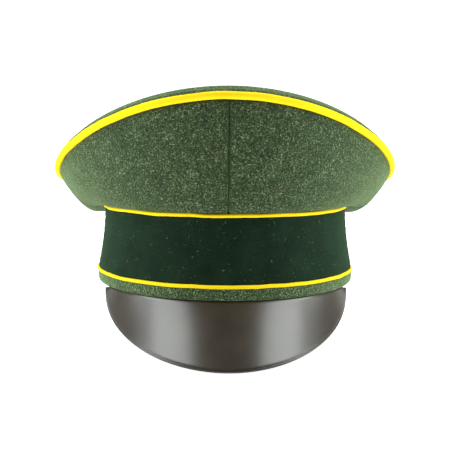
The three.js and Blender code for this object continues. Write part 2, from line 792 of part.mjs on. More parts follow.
add("lining_top", liningTop(), "satin");
add("lining_side", liningSide(), "satin");
const ceiling = new THREE.Group();
ceiling.position.set(0, LINING_CENTRE_Y, liningPlaneZ(LINING_CENTRE_Y));
ceiling.rotation.x = -Math.atan(LINING_SLOPE);
worn.add(ceiling);
const shield = add("sweat_shield", sweatShield(), "celluloid", ceiling);
shield.position.z = -CLEARANCE - SHIELD_THICK;
const cord = add("sweat_shield_cord", shieldCord(), "tape", ceiling);
cord.position.z = -CLEARANCE - 2 * SHIELD_CORD_RADIUS;
const label = add("size_label", sizeLabel(), "canvas", ceiling);
label.position.set(0, LABEL_Y, -CLEARANCE - LABEL_THICK);

// At rest the cap leans back until the bead at the visor's tip and the back of the hem are level.
const hemRestY = BAND_HALF_LENGTH + BAND_FLARE_LENGTH - HEM_EDGE_ROUNDING;
const { outer: beadOuter, inner: beadInner } = beadSection(0);
const tilts = [...beadOuter, ...beadInner].map(({ y, z }) => Math.atan2(-z, hemRestY - y));
worn.rotation.x = -Math.max(...tilts);

const cap = new THREE.Group();
cap.add(worn);
cap.updateMatrixWorld(true);
const box = new THREE.Box3().setFromObject(worn, true);
worn.position.set(0, -(box.min.y + box.max.y) / 2, -box.min.z);

export default cap;
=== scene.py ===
"""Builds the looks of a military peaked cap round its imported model, laid out as an add-on."""

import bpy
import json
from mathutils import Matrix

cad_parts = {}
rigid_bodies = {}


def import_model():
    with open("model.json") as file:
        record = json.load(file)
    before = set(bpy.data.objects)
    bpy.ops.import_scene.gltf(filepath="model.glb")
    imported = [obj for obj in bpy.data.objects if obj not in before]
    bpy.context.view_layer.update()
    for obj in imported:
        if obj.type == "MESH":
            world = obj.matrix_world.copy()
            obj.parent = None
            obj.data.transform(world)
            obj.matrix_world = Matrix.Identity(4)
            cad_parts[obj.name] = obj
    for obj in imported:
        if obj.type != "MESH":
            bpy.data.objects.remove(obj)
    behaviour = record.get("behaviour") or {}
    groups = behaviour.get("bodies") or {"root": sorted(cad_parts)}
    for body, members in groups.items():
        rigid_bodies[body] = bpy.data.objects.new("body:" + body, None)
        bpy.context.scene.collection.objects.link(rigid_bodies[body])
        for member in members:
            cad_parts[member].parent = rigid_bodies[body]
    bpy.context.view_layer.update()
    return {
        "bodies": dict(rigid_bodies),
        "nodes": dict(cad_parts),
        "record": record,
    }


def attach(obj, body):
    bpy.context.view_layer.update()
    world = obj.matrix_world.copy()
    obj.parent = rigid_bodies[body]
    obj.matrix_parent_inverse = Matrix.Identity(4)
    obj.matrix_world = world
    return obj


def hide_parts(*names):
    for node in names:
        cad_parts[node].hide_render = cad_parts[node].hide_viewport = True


bl_info = {
    "name": "Military Peaked Cap",
    "version": (1, 0, 0),
    "blender": (4, 5, 0),
    "location": "3D View > Sidebar > Peaked Cap",
    "description": "Makes the wool, felt, fibre, leather and satin pieces of a military peaked cap",
    "category": "Object",
}

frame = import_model()

import json
import math

import bmesh
import bpy
import numpy as np
from bpy.props import FloatProperty, FloatVectorProperty, IntProperty, PointerProperty
from mathutils import Quaternion, Vector

MM = 0.001
BODY = next(iter(frame["bodies"]))

# ---- The worn cap's own axes: X to the wearer's left, Y to the back, Z up from the hem ----

OPENING = next(m for m in frame["record"]["mounts"] if m["name"] == "head_opening")
ORIGIN = np.array(OPENING["pos_m"])
UPWARD = -Vector(OPENING["axis"]).normalized()
SIDEWAYS = Vector((1, 0, 0))
AXES = np.column_stack([SIDEWAYS, UPWARD.cross(SIDEWAYS), UPWARD])
UP = np.array([0.0, 0.0, 1.0])


def to_row(points):
    """Points of the worn cap, in the frame that the cap rests in."""
    return points @ AXES.T + ORIGIN


def worn_points(node):
    """A CAD node's points, on the worn cap's axes."""
    mesh = frame["nodes"][node].data
    flat = np.empty(3 * len(mesh.vertices))
    mesh.vertices.foreach_get("co", flat)
    return (flat.reshape(-1, 3) - ORIGIN) @ AXES


# ---- Sizes taken from the frame ----

FACET = math.cos(math.pi / 8)  # the CAD cords have eight sides with a corner either side of the axis
CROWN_CORD = 2.2 * MM  # radius of the piping round the rim
NAP = 0.12 * MM  # how far the felt of a piping stands off its cord
BAND_CORD = 1.15 * MM  # radius of the two pipings along the band
BAND_CORD_INSET = 0.45 * MM


def ring_sizes(node, radius, inset=0.0):
    """Half width, half length, middle and mean height of a piping's centre line."""
    points = worn_points(node)
    low, high = points.min(0), points.max(0)
    half = (high - low) / 2 - radius * FACET + inset
    return half[0], half[1], (low[1] + high[1]) / 2, (low[2] + high[2]) / 2


def rim_height(side):
    """Height of the crown piping's centre line: side picks the front, the left or the rear."""
    points = worn_points("crown_piping")
    reach = points @ np.array(side, float)
    near = points[reach > reach.max() - CROWN_CORD]
    return (near[:, 2].min() + near[:, 2].max()) / 2


RIM_WIDTH, RIM_LENGTH, RIM_Y, _ = ring_sizes("crown_piping", CROWN_CORD)
RIM_Z = [rim_height(side) for side in ((0, -1, 0), (1, 0, 0), (0, 1, 0))]
BAND_WIDTH, BAND_LENGTH, _, BAND_HIGH = ring_sizes("band_upper_piping", BAND_CORD, BAND_CORD_INSET)
FOOT_WIDTH, FOOT_LENGTH, _, BAND_LOW = ring_sizes("band_lower_piping", BAND_CORD, BAND_CORD_INSET)

# ---- Sizes of the cloth shapes ----

FLARE_POWER = 1.8
LOW_OUT = np.array([9, 11.5, 28]) * MM  # handles of a crown panel's curve at front, side, rear
LOW_UP = np.array([10, -4, -12]) * MM
SAG = 12 * MM  # the rear half of the wall sags over the band
SAG_FROM = math.radians(78)
SAG_TO = math.radians(104)
HIGH_OUT = np.array([0, -7.5, -3]) * MM
HIGH_UP = np.array([-26, -16, -17.5]) * MM
CROWN_ROOT_Z = BAND_HIGH + 1.0 * MM
PANEL_THICK = 1.7 * MM
WIRE_INSET = 3.4 * MM
WIRE_RAISE = np.array([-0.4, 1, 0.6]) * MM
ROLL_RADIUS = 4.8 * MM
ROLL_FADE = 0.25
TAPE_DEPTH = 2.6 * MM
CANVAS_DEPTH = 3.8 * MM
FELT_THICK = 1.5 * MM
VISOR_REACH = -139 * MM
VISOR_DROP = 36.0 * MM
VISOR_WIDTH = 80.0 * MM
VISOR_CORNER = -48 * MM
VISOR_ROOT = math.radians(62)
VISOR_THICK = 1.6 * MM
VISOR_CLOTH_THICK = 0.7 * MM
VISOR_TIP = 0.985  # how far across the visor its shell and rim go, out of 1
VISOR_LIFT = 0.9 * MM  # how far its corners come up against the hem
VISOR_SEAM_Z = -2.4 * MM  # where its upper face comes out from under the hem
VISOR_TAPER = 1.5  # above 1, the sides of the visor's outline are drawn in
VISOR_SWEEP = 0.68  # below 1, its lower corners are fuller
VISOR_FLANGE = 3.5 * MM
BEAD_WIDE = 0.85 * MM
SWEAT_INSET = 3.95 * MM
SWEAT_LEAN = 1.1 * MM
SWEAT_FRONT = 2 * MM
SWEAT_FOOT = 3.4 * MM
SWEAT_TOP = 43 * MM
SWEAT_THICK = 1.2 * MM
REED = 1 * MM
PAD_THICK = 2.1 * MM
LINING_THICK = 0.5 * MM
LINING_FOOT = 37 * MM
CEILING_Z = 67 * MM
CEILING_SLOPE = 0.2
CEILING_Y = 4 * MM
CEILING_WIDTH = 76 * MM
CEILING_LENGTH = 90 * MM
SHIELD_WIDTH = 42 * MM
SHIELD_LENGTH = 55 * MM


# ---- What a user would change ----


def length(name, description, default):
    """A length in metres, told in millimetres here."""
    return FloatProperty(name=name, description=description, default=default * MM, unit="LENGTH",
                         min=0.0, precision=5)


def colour(name, description, *rgb):
    return FloatVectorProperty(name=name, description=description, default=(*rgb, 1.0), size=4,
                               min=0.0, max=1.0, subtype="COLOR")


class CapSizes(bpy.types.PropertyGroup):
    """Sizes of the cap's making"""

    seam_depth: length("Seam depth", "How far the crown's cloth turns in at a seam", 2.3)
    seam_width: length("Seam width", "How far from a seam the cloth starts to turn in", 0.65)
    cord_wave: length("Piping wave", "How far the pipings stray from their line", 0.22)
    stitch: length("Stitch", "Length of one stitch", 2.6)
    stitch_gap: length("Stitch spacing", "From one stitch to the next", 3.6)
    thread: length("Thread", "Radius of the sewing thread", 0.22)
    hole: length("Air hole", "Radius of a hole in the sweatband", 0.7)
    hole_gap: length("Air hole spacing", "From one hole to the next", 7.5)
    lint: length("Lint", "Length of a loose fibre on the felt", 2.2)
    lint_count: IntProperty(name="Lint density", default=3000, min=0,
                            description="Loose fibres for each square metre of felt")
    slack: FloatProperty(name="Lining slack", default=0.035, min=0.0, max=0.1, subtype="FACTOR",
                         description="How much larger the lining is cut than its place")


class CapColours(bpy.types.PropertyGroup):
    """Colours of the cap's materials"""

    wool_dark: colour("Wool, dark fibres", "Darkest fibres of the crown's wool", 0.006, 0.012, 0.007)
    wool_mid: colour("Wool, ground", "Main colour of the crown's wool", 0.036, 0.061, 0.025)
    wool_light: colour("Wool, light fibres", "Lightest fibres of the crown's wool", 0.260, 0.330, 0.180)
    band: colour("Band felt", "Dark felt of the head band", 0.0065, 0.0175, 0.0085)
    piping: colour("Piping", "Yellow felt of the pipings", 0.960, 0.690, 0.010)
    visor: colour("Visor", "Lacquered fibre of the visor", 0.033, 0.025, 0.0165)
    leather: colour("Leather", "Leather of the sweatband", 0.230, 0.110, 0.048)
    satin: colour("Satin", "Satin of the lining", 0.360, 0.200, 0.075)
    floor: colour("Floor", "Studio floor", 0.860, 0.860, 0.860)


# ---- Node trees ----


class Value:
    """A node's output in a sum; each sum adds the nodes that work it out."""

    def __init__(self, graph, socket):
        self.graph = graph
        self.socket = socket

    def math(self, operation, *terms):
        inputs = dict(enumerate(terms))
        return self.graph.add("ShaderNodeMath", {"operation": operation}, inputs)

    def output(self, name):
        return Value(self.graph, self.socket.node.outputs[name])

    def __add__(self, other):
        return self.math("ADD", self, other)

    def __sub__(self, other):
        return self.math("SUBTRACT", self, other)

    def __rsub__(self, other):
        return self.math("SUBTRACT", other, self)

    def __mul__(self, other):
        return self.math("MULTIPLY", self, other)

    def __truediv__(self, other):
        return self.math("DIVIDE", self, other)

    __radd__ = __add__
    __rmul__ = __mul__


class Graph:
    """A node tree that is being built."""

    def __init__(self, tree):
        self.tree = tree

    def add(self, kind, settings=None, inputs=None, output=0):
        """A new node with its settings, then the values and links of its sockets."""
        node = self.tree.nodes.new(kind)
        for key, value in (settings or {}).items():
            if key == "stops":
                fill_ramp(node.color_ramp, value)
            else:
                setattr(node, key, value)
        for key, value in (inputs or {}).items():
            if isinstance(value, Value):
                self.tree.links.new(value.socket, node.inputs[key])
            else:
                node.inputs[key].default_value = value
        return Value(self, node.outputs[output] if node.outputs else None)

    def mix(self, share, first, second):
        """Two colours mixed by a share from 0 to 1."""
        return self.add("ShaderNodeMix", {"data_type": "RGBA"}, {0: share, 6: first, 7: second}, output=2)

    def place(self, stretch=(1, 1, 1), turn=(0, 0, 0), source="Object"):
        """A position on the piece, in metres, stretched and turned for a pattern."""
        point = self.add("ShaderNodeTexCoord", output=source)
        if stretch == (1, 1, 1) and turn == (0, 0, 0):
            return point
        return self.add("ShaderNodeMapping", {}, {"Vector": point, "Rotation": turn, "Scale": stretch})

    def noise(self, place, grain, detail=2.0, roughness=0.5):
        """Soft noise whose grains are about that many metres apart."""
        inputs = {"Vector": place, "Scale": 1 / grain, "Detail": detail, "Roughness": roughness}
        return self.add("ShaderNodeTexNoise", {}, inputs)

    def ramp(self, value, *stops):
        return self.add("ShaderNodeValToRGB", {"stops": stops}, {0: value})

    def rise(self, value, low, high):
        """0 up to low, 1 from high on, and smooth between."""
        settings = {"interpolation_type": "SMOOTHSTEP"}
        inputs = {"Value": value, "From Min": low, "From Max": high}
        return self.add("ShaderNodeMapRange", settings, inputs)

    def vector(self, operation, first, second):
        """Vector Math on two vectors, or on a vector and a number that scales it."""
        inputs = {0: first, "Scale" if operation == "SCALE" else 1: second}
        return self.add("ShaderNodeVectorMath", {"operation": operation}, inputs)

    def random(self, low, high, number, seed):
        """A random number between two others, the same for each point on every run."""
        inputs = {2: low, 3: high, "ID": number, "Seed": seed}
        return self.add("FunctionNodeRandomValue", {"data_type": "FLOAT"}, inputs, output=1)

    def tube(self, line, section):
        """A solid tube along a curve."""
        inputs = {"Curve": line, "Profile Curve": section, "Fill Caps": True}
        return self.add("GeometryNodeCurveToMesh", {}, inputs)

    def combine(self, x, y, z):
        return self.add("ShaderNodeCombineXYZ", {}, {0: x, 1: y, 2: z})

    def bump(self, height, distance, strength):
        inputs = {"Height": height, "Distance": distance, "Strength": strength}
        return self.add("ShaderNodeBump", {}, inputs)


def fill_ramp(ramp, stops):
    while len(ramp.elements) < len(stops):
        ramp.elements.new(1.0)
    for element, (position, rgba) in zip(ramp.elements, stops):
        element.position = position
        element.color = rgba


def material(name, recipe, *args, **kwargs):
    """The named material, built by its recipe the first time that it is asked for."""
    found = bpy.data.materials.get(name)
    if found is None:
        found = bpy.data.materials.new(name)
        found.use_nodes = True
        found.node_tree.nodes.clear()
        graph = Graph(found.node_tree)
        shader = graph.add("ShaderNodeBsdfPrincipled", {}, recipe(graph, *args, **kwargs))
        graph.add("ShaderNodeOutputMaterial", {}, {"Surface": shader})
    return found


def scaled(rgba, factor):
    """A colour made lighter or darker."""
    return (*(min(1.0, part * factor) for part in tuple(rgba)[:3]), 1.0)


# ---- Finishes ----


def wool_recipe(graph, colours, tone):
    """Milled wool spun from dark, green and pale fibres, with a raised nap."""
    place = graph.place()
    cloud = graph.noise(place, 9 * MM, 3, 0.6)
    tuft = graph.noise(place, 1.0 * MM, 3, 0.75)
    slant = graph.noise(graph.place((1, 1, 0.35), (0.5, 0.7, 0)), 0.7 * MM, 2, 0.6)
    cross = graph.noise(graph.place((0.4, 1, 1), (0, 0.6, 0.4)), 0.62 * MM, 2, 0.6)
    blend = cloud * 0.1 + tuft * 0.44 + slant * 0.25 + cross * 0.21
    ground = graph.ramp(
        blend,
        (0.38, scaled(colours.wool_dark, tone)),
        (0.475, scaled(colours.wool_mid, 0.62 * tone)),
        (0.535, scaled(colours.wool_mid, 1.25 * tone)),
        (0.63, scaled(colours.wool_light, tone)),
    )
    pale = graph.rise(cross, 0.61, 0.72)
    brown = graph.rise(graph.noise(graph.place(turn=(0.3, 1.1, 0.2)), 1.9 * MM, 2, 0.6), 0.6, 0.72)
    blue = graph.rise(graph.noise(graph.place(turn=(1.3, 0.2, 0.9)), 1.6 * MM, 2, 0.6), 0.62, 0.74)
    shade = graph.mix(pale * 0.55, ground, scaled(colours.wool_light, 1.35))
    shade = graph.mix(brown * 0.35, shade, (0.16, 0.105, 0.055, 1))
    shade = graph.mix(blue * 0.3, shade, (0.035, 0.075, 0.085, 1))
    nap = tuft * 0.6 + slant * 0.4
    return {
        "Base Color": shade,
        "Roughness": 0.92,
        "Specular IOR Level": 0.15,
        "Sheen Weight": 0.45,
        "Sheen Roughness": 0.4,
        "Sheen Tint": (0.46, 0.70, 0.30, 1),
        "Normal": graph.bump(nap, 0.45 * MM, 0.55),
    }


def felt_recipe(graph, ground, speck, contrast, grain, sheen, nap):
    """Dense felt of one colour with a short nap and a few paler fibres."""
    place = graph.place()
    cloud = graph.noise(place, 14 * MM, 3, 0.6)
    tuft = graph.noise(place, grain, 3, 0.7)
    hair = graph.noise(graph.place((1, 0.3, 1), (0.2, 0.5, 0.8)), 0.55 * grain, 2, 0.6)
    blend = cloud * 0.3 + tuft * 0.45 + hair * 0.25
    shade = graph.ramp(
        blend,
        (0.38, scaled(ground, 1 - contrast)),
        (0.5, ground),
        (0.64, scaled(ground, 1 + 1.5 * contrast)),
    )
    fleck = graph.rise(graph.noise(place, 1.7 * grain, 1, 0.5), 0.7, 0.78)
    shade = graph.mix(fleck * 0.35, shade, speck)
    return {
        "Base Color": shade,
        "Roughness": 0.95,
        "Specular IOR Level": 0.1,
        "Sheen Weight": sheen,
        "Sheen Roughness": 0.4,
        "Sheen Tint": speck,
        "Normal": graph.bump(tuft * 0.6 + hair * 0.4, nap, 0.6),
    }


def fibre_recipe(graph, ground):
    """Lacquered vulcanised fibre: satin, with a very fine grain and faint rub marks."""
    place = graph.place()
    grain = graph.noise(place, 0.6 * MM, 2, 0.5)
    ripple = graph.noise(place, 6 * MM, 2, 0.5)
    rub = graph.noise(graph.place((1, 0.15, 1), (0, 0, 0.3)), 2.2 * MM, 3, 0.6)
    cloud = graph.noise(place, 30 * MM, 3, 0.5)
    shade = graph.mix(graph.rise(cloud, 0.35, 0.7), scaled(ground, 0.8), scaled(ground, 1.2))
    scuff = graph.rise(rub, 0.62, 0.78)
    return {
        "Base Color": graph.mix(scuff * 0.12, shade, scaled(ground, 3.0)),
        "Roughness": 0.25 + grain * 0.09 + scuff * 0.05,
        "Specular IOR Level": 0.5,
        "Normal": graph.bump(grain * 0.3 + ripple * 0.5, 0.12 * MM, 0.35),
    }


def leather_recipe(graph, ground):
    """Vegetable-tanned leather with pores and creases."""
    place = graph.place()
    pores = graph.add("ShaderNodeTexVoronoi", {"feature": "DISTANCE_TO_EDGE"},
                      {"Vector": place, "Scale": 1 / (0.9 * MM)})
    crease = graph.noise(place, 4 * MM, 4, 0.6)
    cloud = graph.noise(place, 22 * MM, 3, 0.6)
    shade = graph.ramp(
        cloud * 0.6 + crease * 0.4,
        (0.35, scaled(ground, 0.55)),
        (0.5, ground),
        (0.66, scaled(ground, 1.5)),
    )
    cell = graph.rise(pores, 0.0, 0.12)
    return {
        "Base Color": graph.mix(0.35 - cell * 0.35, shade, scaled(ground, 0.3)),
        "Roughness": 0.42 + crease * 0.2,
        "Normal": graph.bump(cell * 0.5 + crease * 0.5, 0.12 * MM, 0.6),
    }


def woven_recipe(graph, ground, pitch, gloss=0.8, sheen=0.2, slub=0.15):
    """A plain weave that follows the piece's own map, with uneven threads."""
    uv = graph.place(source="UV")
    parts = graph.add("ShaderNodeSeparateXYZ", {}, {0: uv})
    turns = 2 * math.pi / pitch
    warp = (parts.output("X") * turns).math("SINE", parts.output("X") * turns)
    weft = (parts.output("Y") * turns).math("SINE", parts.output("Y") * turns)
    over = warp * weft
    uneven = graph.noise(graph.place((1, 0.08, 1), source="UV"), 3 * pitch, 2, 0.5)
    height = over * 0.5 + uneven * 0.5
    shade = graph.ramp(
        over * 0.3 + uneven,
        (0.3, scaled(ground, 1 - 2 * slub)),
        (0.5, ground),
        (0.8, scaled(ground, 1 + 2 * slub)),
    )
    return {
        "Base Color": shade,
        "Roughness": gloss + uneven * 0.1,
        "Sheen Weight": sheen,
        "Sheen Roughness": 0.4,
        "Normal": graph.bump(height, 0.3 * pitch, 0.5),
    }


def satin_recipe(graph, ground):
    """Satin whose long floats run down the cloth and catch the light."""
    floats = graph.noise(graph.place((1, 0.04, 1), source="UV"), 0.4 * MM, 2, 0.5)
    cloud = graph.noise(graph.place(), 25 * MM, 3, 0.6)
    shade = graph.ramp(
        floats * 0.5 + cloud * 0.5,
        (0.36, scaled(ground, 0.7)),
        (0.5, ground),
        (0.64, scaled(ground, 1.35)),
    )
    return {
        "Base Color": shade,
        "Roughness": 0.3 + floats * 0.16,
        "Sheen Weight": 0.3,
        "Sheen Roughness": 0.3,
        "Normal": graph.bump(floats, 0.06 * MM, 0.5),
    }


def grainy_recipe(graph, ground, grain, contrast, roughness, depth, metallic=0.0):
    """A solid material with flecks and a fine rough surface, such as board, paper or steel."""
    place = graph.place()
    fleck = graph.noise(place, grain, 4, 0.65)
    cloud = graph.noise(place, 18 * grain, 3, 0.6)
    shade = graph.ramp(
        fleck * 0.65 + cloud * 0.35,
        (0.36, scaled(ground, 1 - contrast)),
        (0.5, ground),
        (0.64, scaled(ground, 1 + contrast)),
    )
    return {
        "Base Color": shade,
        "Roughness": roughness + fleck * 0.12,
        "Metallic": metallic,
        "Normal": graph.bump(fleck, depth, 0.6),
    }


def film_recipe(graph):
    """Clear film, yellowed and a little scratched."""
    scratch = graph.rise(graph.noise(graph.place((1, 0.03, 1), (0, 0, 0.6)), 0.8 * MM, 2, 0.5), 0.6, 0.7)
    haze = graph.noise(graph.place(), 20 * MM, 3, 0.6)
    return {
        "Base Color": graph.mix(haze, (0.80, 0.74, 0.52, 1), (0.86, 0.82, 0.66, 1)),
        "Roughness": 0.1 + scratch * 0.25,
        "Alpha": 0.3 + haze * 0.12,
    }


def crown_wool(context):
    return material("Crown wool melange", wool_recipe, context.scene.cap_colours, 1.0)


def painted_light_hem_wool(context):
    """The same cloth painted a little paler: painted light, standing in for the light that the visor and
    floor throw up onto the hem.
    """
    return material("Hem wool melange painted lighter", wool_recipe, context.scene.cap_colours, 1.4)


def band_felt(context):
    ground = context.scene.cap_colours.band
    return material("Dark green band felt", felt_recipe, ground, (0.10, 0.32, 0.13, 1),
                    contrast=0.45, grain=0.8 * MM, sheen=0.28, nap=0.3 * MM)


def piping_felt(context):
    ground = context.scene.cap_colours.piping
    return material("Yellow piping felt", felt_recipe, ground, (1.0, 0.93, 0.30, 1),
                    contrast=0.05, grain=0.6 * MM, sheen=0.06, nap=0.14 * MM)


def visor_fibre(context):
    return material("Black lacquered fibre", fibre_recipe, context.scene.cap_colours.visor)


def rim_fibre(context):
    ground = scaled(context.scene.cap_colours.visor, 0.5)
    return material("Lacquered visor rim", fibre_recipe, ground)


def pale_thread(context):
    return material("Linen thread", grainy_recipe, (0.50, 0.42, 0.28, 1), 0.3 * MM, 0.25, 0.6, 0.05 * MM)


def green_thread(context):
    return material("Green thread", grainy_recipe, (0.05, 0.08, 0.045, 1), 0.3 * MM, 0.3, 0.6, 0.05 * MM)


def cotton_tape(context):
    return material("Black cotton tape", woven_recipe, (0.03, 0.03, 0.028, 1), 0.7 * MM)


# ---- Meshes ----


def strip_of(rows, columns, wrap_rows, wrap_columns):
    """Corner indices (row, column) of the faces of a grid, with the last row or column joined on."""
    i, j = np.meshgrid(
        np.arange(rows if wrap_rows else rows - 1),
        np.arange(columns if wrap_columns else columns - 1),
        indexing="ij",
    )
    corners = [(i, j), (i, j + 1), (i + 1, j + 1), (i + 1, j)]
    return np.stack([np.stack(c, -1) for c in corners], axis=2).reshape(-1, 4, 2)


def run_lengths(points, axis):
    """Distance walked along an axis of a grid of points, from its start."""
    steps = np.linalg.norm(np.diff(points, axis=axis), axis=-1)
    return np.concatenate([np.zeros_like(steps.take([0], axis)), steps.cumsum(axis)], axis)


def grid_faces(cells, rows, columns):
    """Vertex numbers of the faces whose corners are given as row and column."""
    return (cells[..., 0] % rows) * columns + cells[..., 1] % columns


def placed(name, data):
    """A new object at the origin, in the scene."""
    piece = bpy.data.objects.new(name, data)
    bpy.context.scene.collection.objects.link(piece)
    return piece


def mesh_object(name, points, faces, uv, finish):
    """A smooth mesh object at the origin, with one UV for each face corner, in metres."""
    mesh = bpy.data.meshes.new(name)
    mesh.from_pydata(points.tolist(), [], faces.tolist())
    mesh.uv_layers.new(name="UVMap").data.foreach_set("uv", np.ascontiguousarray(uv, np.float32).ravel())
    mesh.materials.append(finish)
    edit = bmesh.new()
    edit.from_mesh(mesh)
    bmesh.ops.remove_doubles(edit, verts=edit.verts, dist=1e-6)
    bmesh.ops.recalc_face_normals(edit, faces=edit.faces)
    edit.to_mesh(mesh)
    edit.free()
    mesh.shade_smooth()
    return placed(name, mesh)


def swept(name, loops, closed, finish):
    """A closed solid from a grid of section loops: rows go along the piece, columns round the section.

    An open sweep is closed at both ends by faces across its section.
    """
    rows, columns = loops.shape[:2]
    cells = strip_of(rows, columns, closed, True)
    grid = np.concatenate([loops, loops[:1]]) if closed else loops
    grid = np.concatenate([grid, grid[:, :1]], axis=1)
    along = run_lengths(grid, 0)
    uv_grid = np.stack([along - along[rows // 2], run_lengths(grid, 1)], -1)
    faces = grid_faces(cells, rows, columns)
    uv = uv_grid[cells[..., 0], cells[..., 1]]
    if not closed:
        k = np.arange(columns // 2 - 1)
        cap = np.stack([k, k + 1, columns - 2 - k, columns - 1 - k], 1)
        last = cap[:, ::-1] + (rows - 1) * columns
        faces = np.concatenate([faces, cap, last])
        ends = [uv_grid[0][cap], uv_grid[rows - 1][cap[:, ::-1]]]
        uv = np.concatenate([uv, *ends])
    return mesh_object(name, to_row(loops.reshape(-1, 3)), faces, uv, finish)


def disc(name, profiles, finish):
    """A closed solid from profiles that run from the middle above, round the edge, to the middle below."""
    rows, columns = profiles.shape[:2]
    cells = strip_of(rows, columns, True, False)
    faces = grid_faces(cells, rows, columns)
    uv = np.concatenate([profiles, profiles[:1]])[cells[..., 0], cells[..., 1]][..., :2]
    return mesh_object(name, to_row(profiles.reshape(-1, 3)), faces, uv, finish)


def edge_arc(start, end, tangent, steps=3):
    """Points of a half circle from start to end that bulges along the tangent."""
    middle, half = (start + end) / 2, (start - end) / 2
    radius = np.linalg.norm(half, axis=-1, keepdims=True)
    turns = [math.pi * (k + 1) / (steps + 1) for k in range(steps)]
    return np.stack([middle + half * math.cos(a) + tangent * radius * math.sin(a) for a in turns], -2)


def unit(vectors):
    return vectors / np.linalg.norm(vectors, axis=-1, keepdims=True)


def shell(outer, inner):
    """Section loops that go along an outer line and back along an inner one."""
    return np.concatenate([outer, inner[:, ::-1]], axis=1)


def rounded_loop(outer, inner):
    """Section loops from an outer and an inner line, joined by half-round edges."""
    over = edge_arc(outer[:, -1], inner[:, -1], unit(outer[:, -1] - outer[:, -2]))
    back = edge_arc(inner[:, 0], outer[:, 0], unit(outer[:, 0] - outer[:, 1]))
    middle = back.shape[1] // 2 + 1
    loop = np.concatenate([outer, over, inner[:, ::-1], back], axis=1)
    return np.roll(loop, middle, axis=1)


def curve_through(points, count):
    """A smooth line through each row of points, with count points, evenly spread over its spans."""
    ends = [2 * points[:, :1] - points[:, 1:2], points, 2 * points[:, -1:] - points[:, -2:-1]]
    p = np.concatenate(ends, axis=1)
    at = np.linspace(0, points.shape[1] - 1, count)
    k = np.minimum(at.astype(int), points.shape[1] - 2)
    s = (at - k)[None, :, None]
    a, b, c, d = p[:, k], p[:, k + 1], p[:, k + 2], p[:, k + 3]
    return 0.5 * (2 * b + (c - a) * s + (2 * a - 5 * b + 4 * c - d) * s**2 + (3 * b - a - 3 * c + d) * s**3)


def smoothstep(value, low, high):
    share = np.clip((value - low) / (high - low), 0, 1)
    return share * share * (3 - 2 * share)


def vectors(x, y, z):
    return np.stack(np.broadcast_arrays(x, y, z), axis=-1).astype(float)


# ---- Shape of the cap. Turn 0 is the front, a quarter turn the wearer's left, half a turn the back ----


def oval(turn, half_width, half_length, z, middle=0.0):
    return vectors(half_width * np.sin(turn), middle - half_length * np.cos(turn), z)


def outward(turn, half_width, half_length):
    """The level direction that points out of an oval."""
    return unit(vectors(np.sin(turn) / half_width, -np.cos(turn) / half_length, 0 * turn))


def around(turn, values):
    """A value that varies smoothly round the cap between its front, side and rear values."""
    front, side, rear = values
    ends = (front + rear) / 2
    return (ends + side) / 2 + (front - rear) / 2 * np.cos(turn) + (ends - side) / 2 * np.cos(2 * turn)


def from_front(turn):
    """How far a turn is from the front, either way."""
    return np.abs((turn + math.pi) % (2 * math.pi) - math.pi)


def band_wall(turn, z, inset):
    """The band's outer face, or a layer set in from it."""
    flare = np.clip((BAND_HIGH - z) / (BAND_HIGH - BAND_LOW), 0, 1) ** FLARE_POWER
    half_width = BAND_WIDTH + (FOOT_WIDTH - BAND_WIDTH) * flare - inset
    return oval(turn, half_width, BAND_LENGTH + (FOOT_LENGTH - BAND_LENGTH) * flare - inset, z)


def rim_point(turn):
    return oval(turn, RIM_WIDTH, RIM_LENGTH, around(turn, RIM_Z), RIM_Y)


def rim_outward(turn):
    return outward(turn, RIM_WIDTH, RIM_LENGTH)


def wire_point(turn):
    """The spring wire's centre line, just inside the rim."""
    return rim_point(turn) - WIRE_INSET * rim_outward(turn) + around(turn, WIRE_RAISE)[..., None] * UP


def saddle_z(turn, share):
    """Height of a saddle stretched over the rim, at a share of the rim's radius."""
    front, side, rear = RIM_Z
    ends = (front + rear) / 2
    fall = (front - rear) / 2 * share * np.cos(turn)
    return (ends + side) / 2 + fall + (ends - side) / 2 * share**2 * np.cos(2 * turn)


ROLL_SHARE = 1 - WIRE_INSET / RIM_WIDTH


def top_point(turn, share):
    """The top panel's outer face: the saddle, lifted near the rim to meet the roll over the wire."""
    roll_top = wire_point(turn)[..., 2] + ROLL_RADIUS
    lift = roll_top - saddle_z(turn, ROLL_SHARE)
    fade = (share / ROLL_SHARE) ** 2 * np.exp((share - ROLL_SHARE) / ROLL_FADE)
    z = saddle_z(turn, share) + lift * fade
    return oval(turn, RIM_WIDTH * share, RIM_LENGTH * share, z, RIM_Y)


def crown_line(turn, share):
    """The curve that a crown panel follows from the band up to the rim."""
    root = oval(turn, BAND_WIDTH + 0.2 * MM, BAND_LENGTH + 0.2 * MM, CROWN_ROOT_Z)
    rim = rim_point(turn)
    root_out = outward(turn, BAND_WIDTH, BAND_LENGTH)
    low_up = around(turn, LOW_UP) - SAG * smoothstep(from_front(turn), SAG_FROM, SAG_TO)
    low = root + around(turn, LOW_OUT)[..., None] * root_out + low_up[..., None] * UP
    high = rim + around(turn, HIGH_OUT)[..., None] * rim_outward(turn)
    high = high + around(turn, HIGH_UP)[..., None] * UP
    edge = rim + unit(high - rim) * 0.8 * CROWN_CORD
    s = share[..., None]
    return root * (1 - s) ** 3 + 3 * low * s * (1 - s) ** 2 + 3 * high * s**2 * (1 - s) + edge * s**3


def crown_point(turn, share, depth):
    """A point of a crown panel, set in from its outer face by depth."""
    turn, share = np.broadcast_arrays(turn, share)
    step = 0.005
    across = crown_line(turn + step, share) - crown_line(turn - step, share)
    along = crown_line(turn, np.minimum(share + step, 1)) - crown_line(turn, np.maximum(share - step, 0))
    normal = unit(np.cross(across, along))
    return crown_line(turn, share) - normal * np.broadcast_to(depth, turn.shape)[..., None]


def visor_rise(across):
    """How far the visor's corners come up against the hem."""
    return VISOR_LIFT * smoothstep(np.abs(across), 0.7, 1)


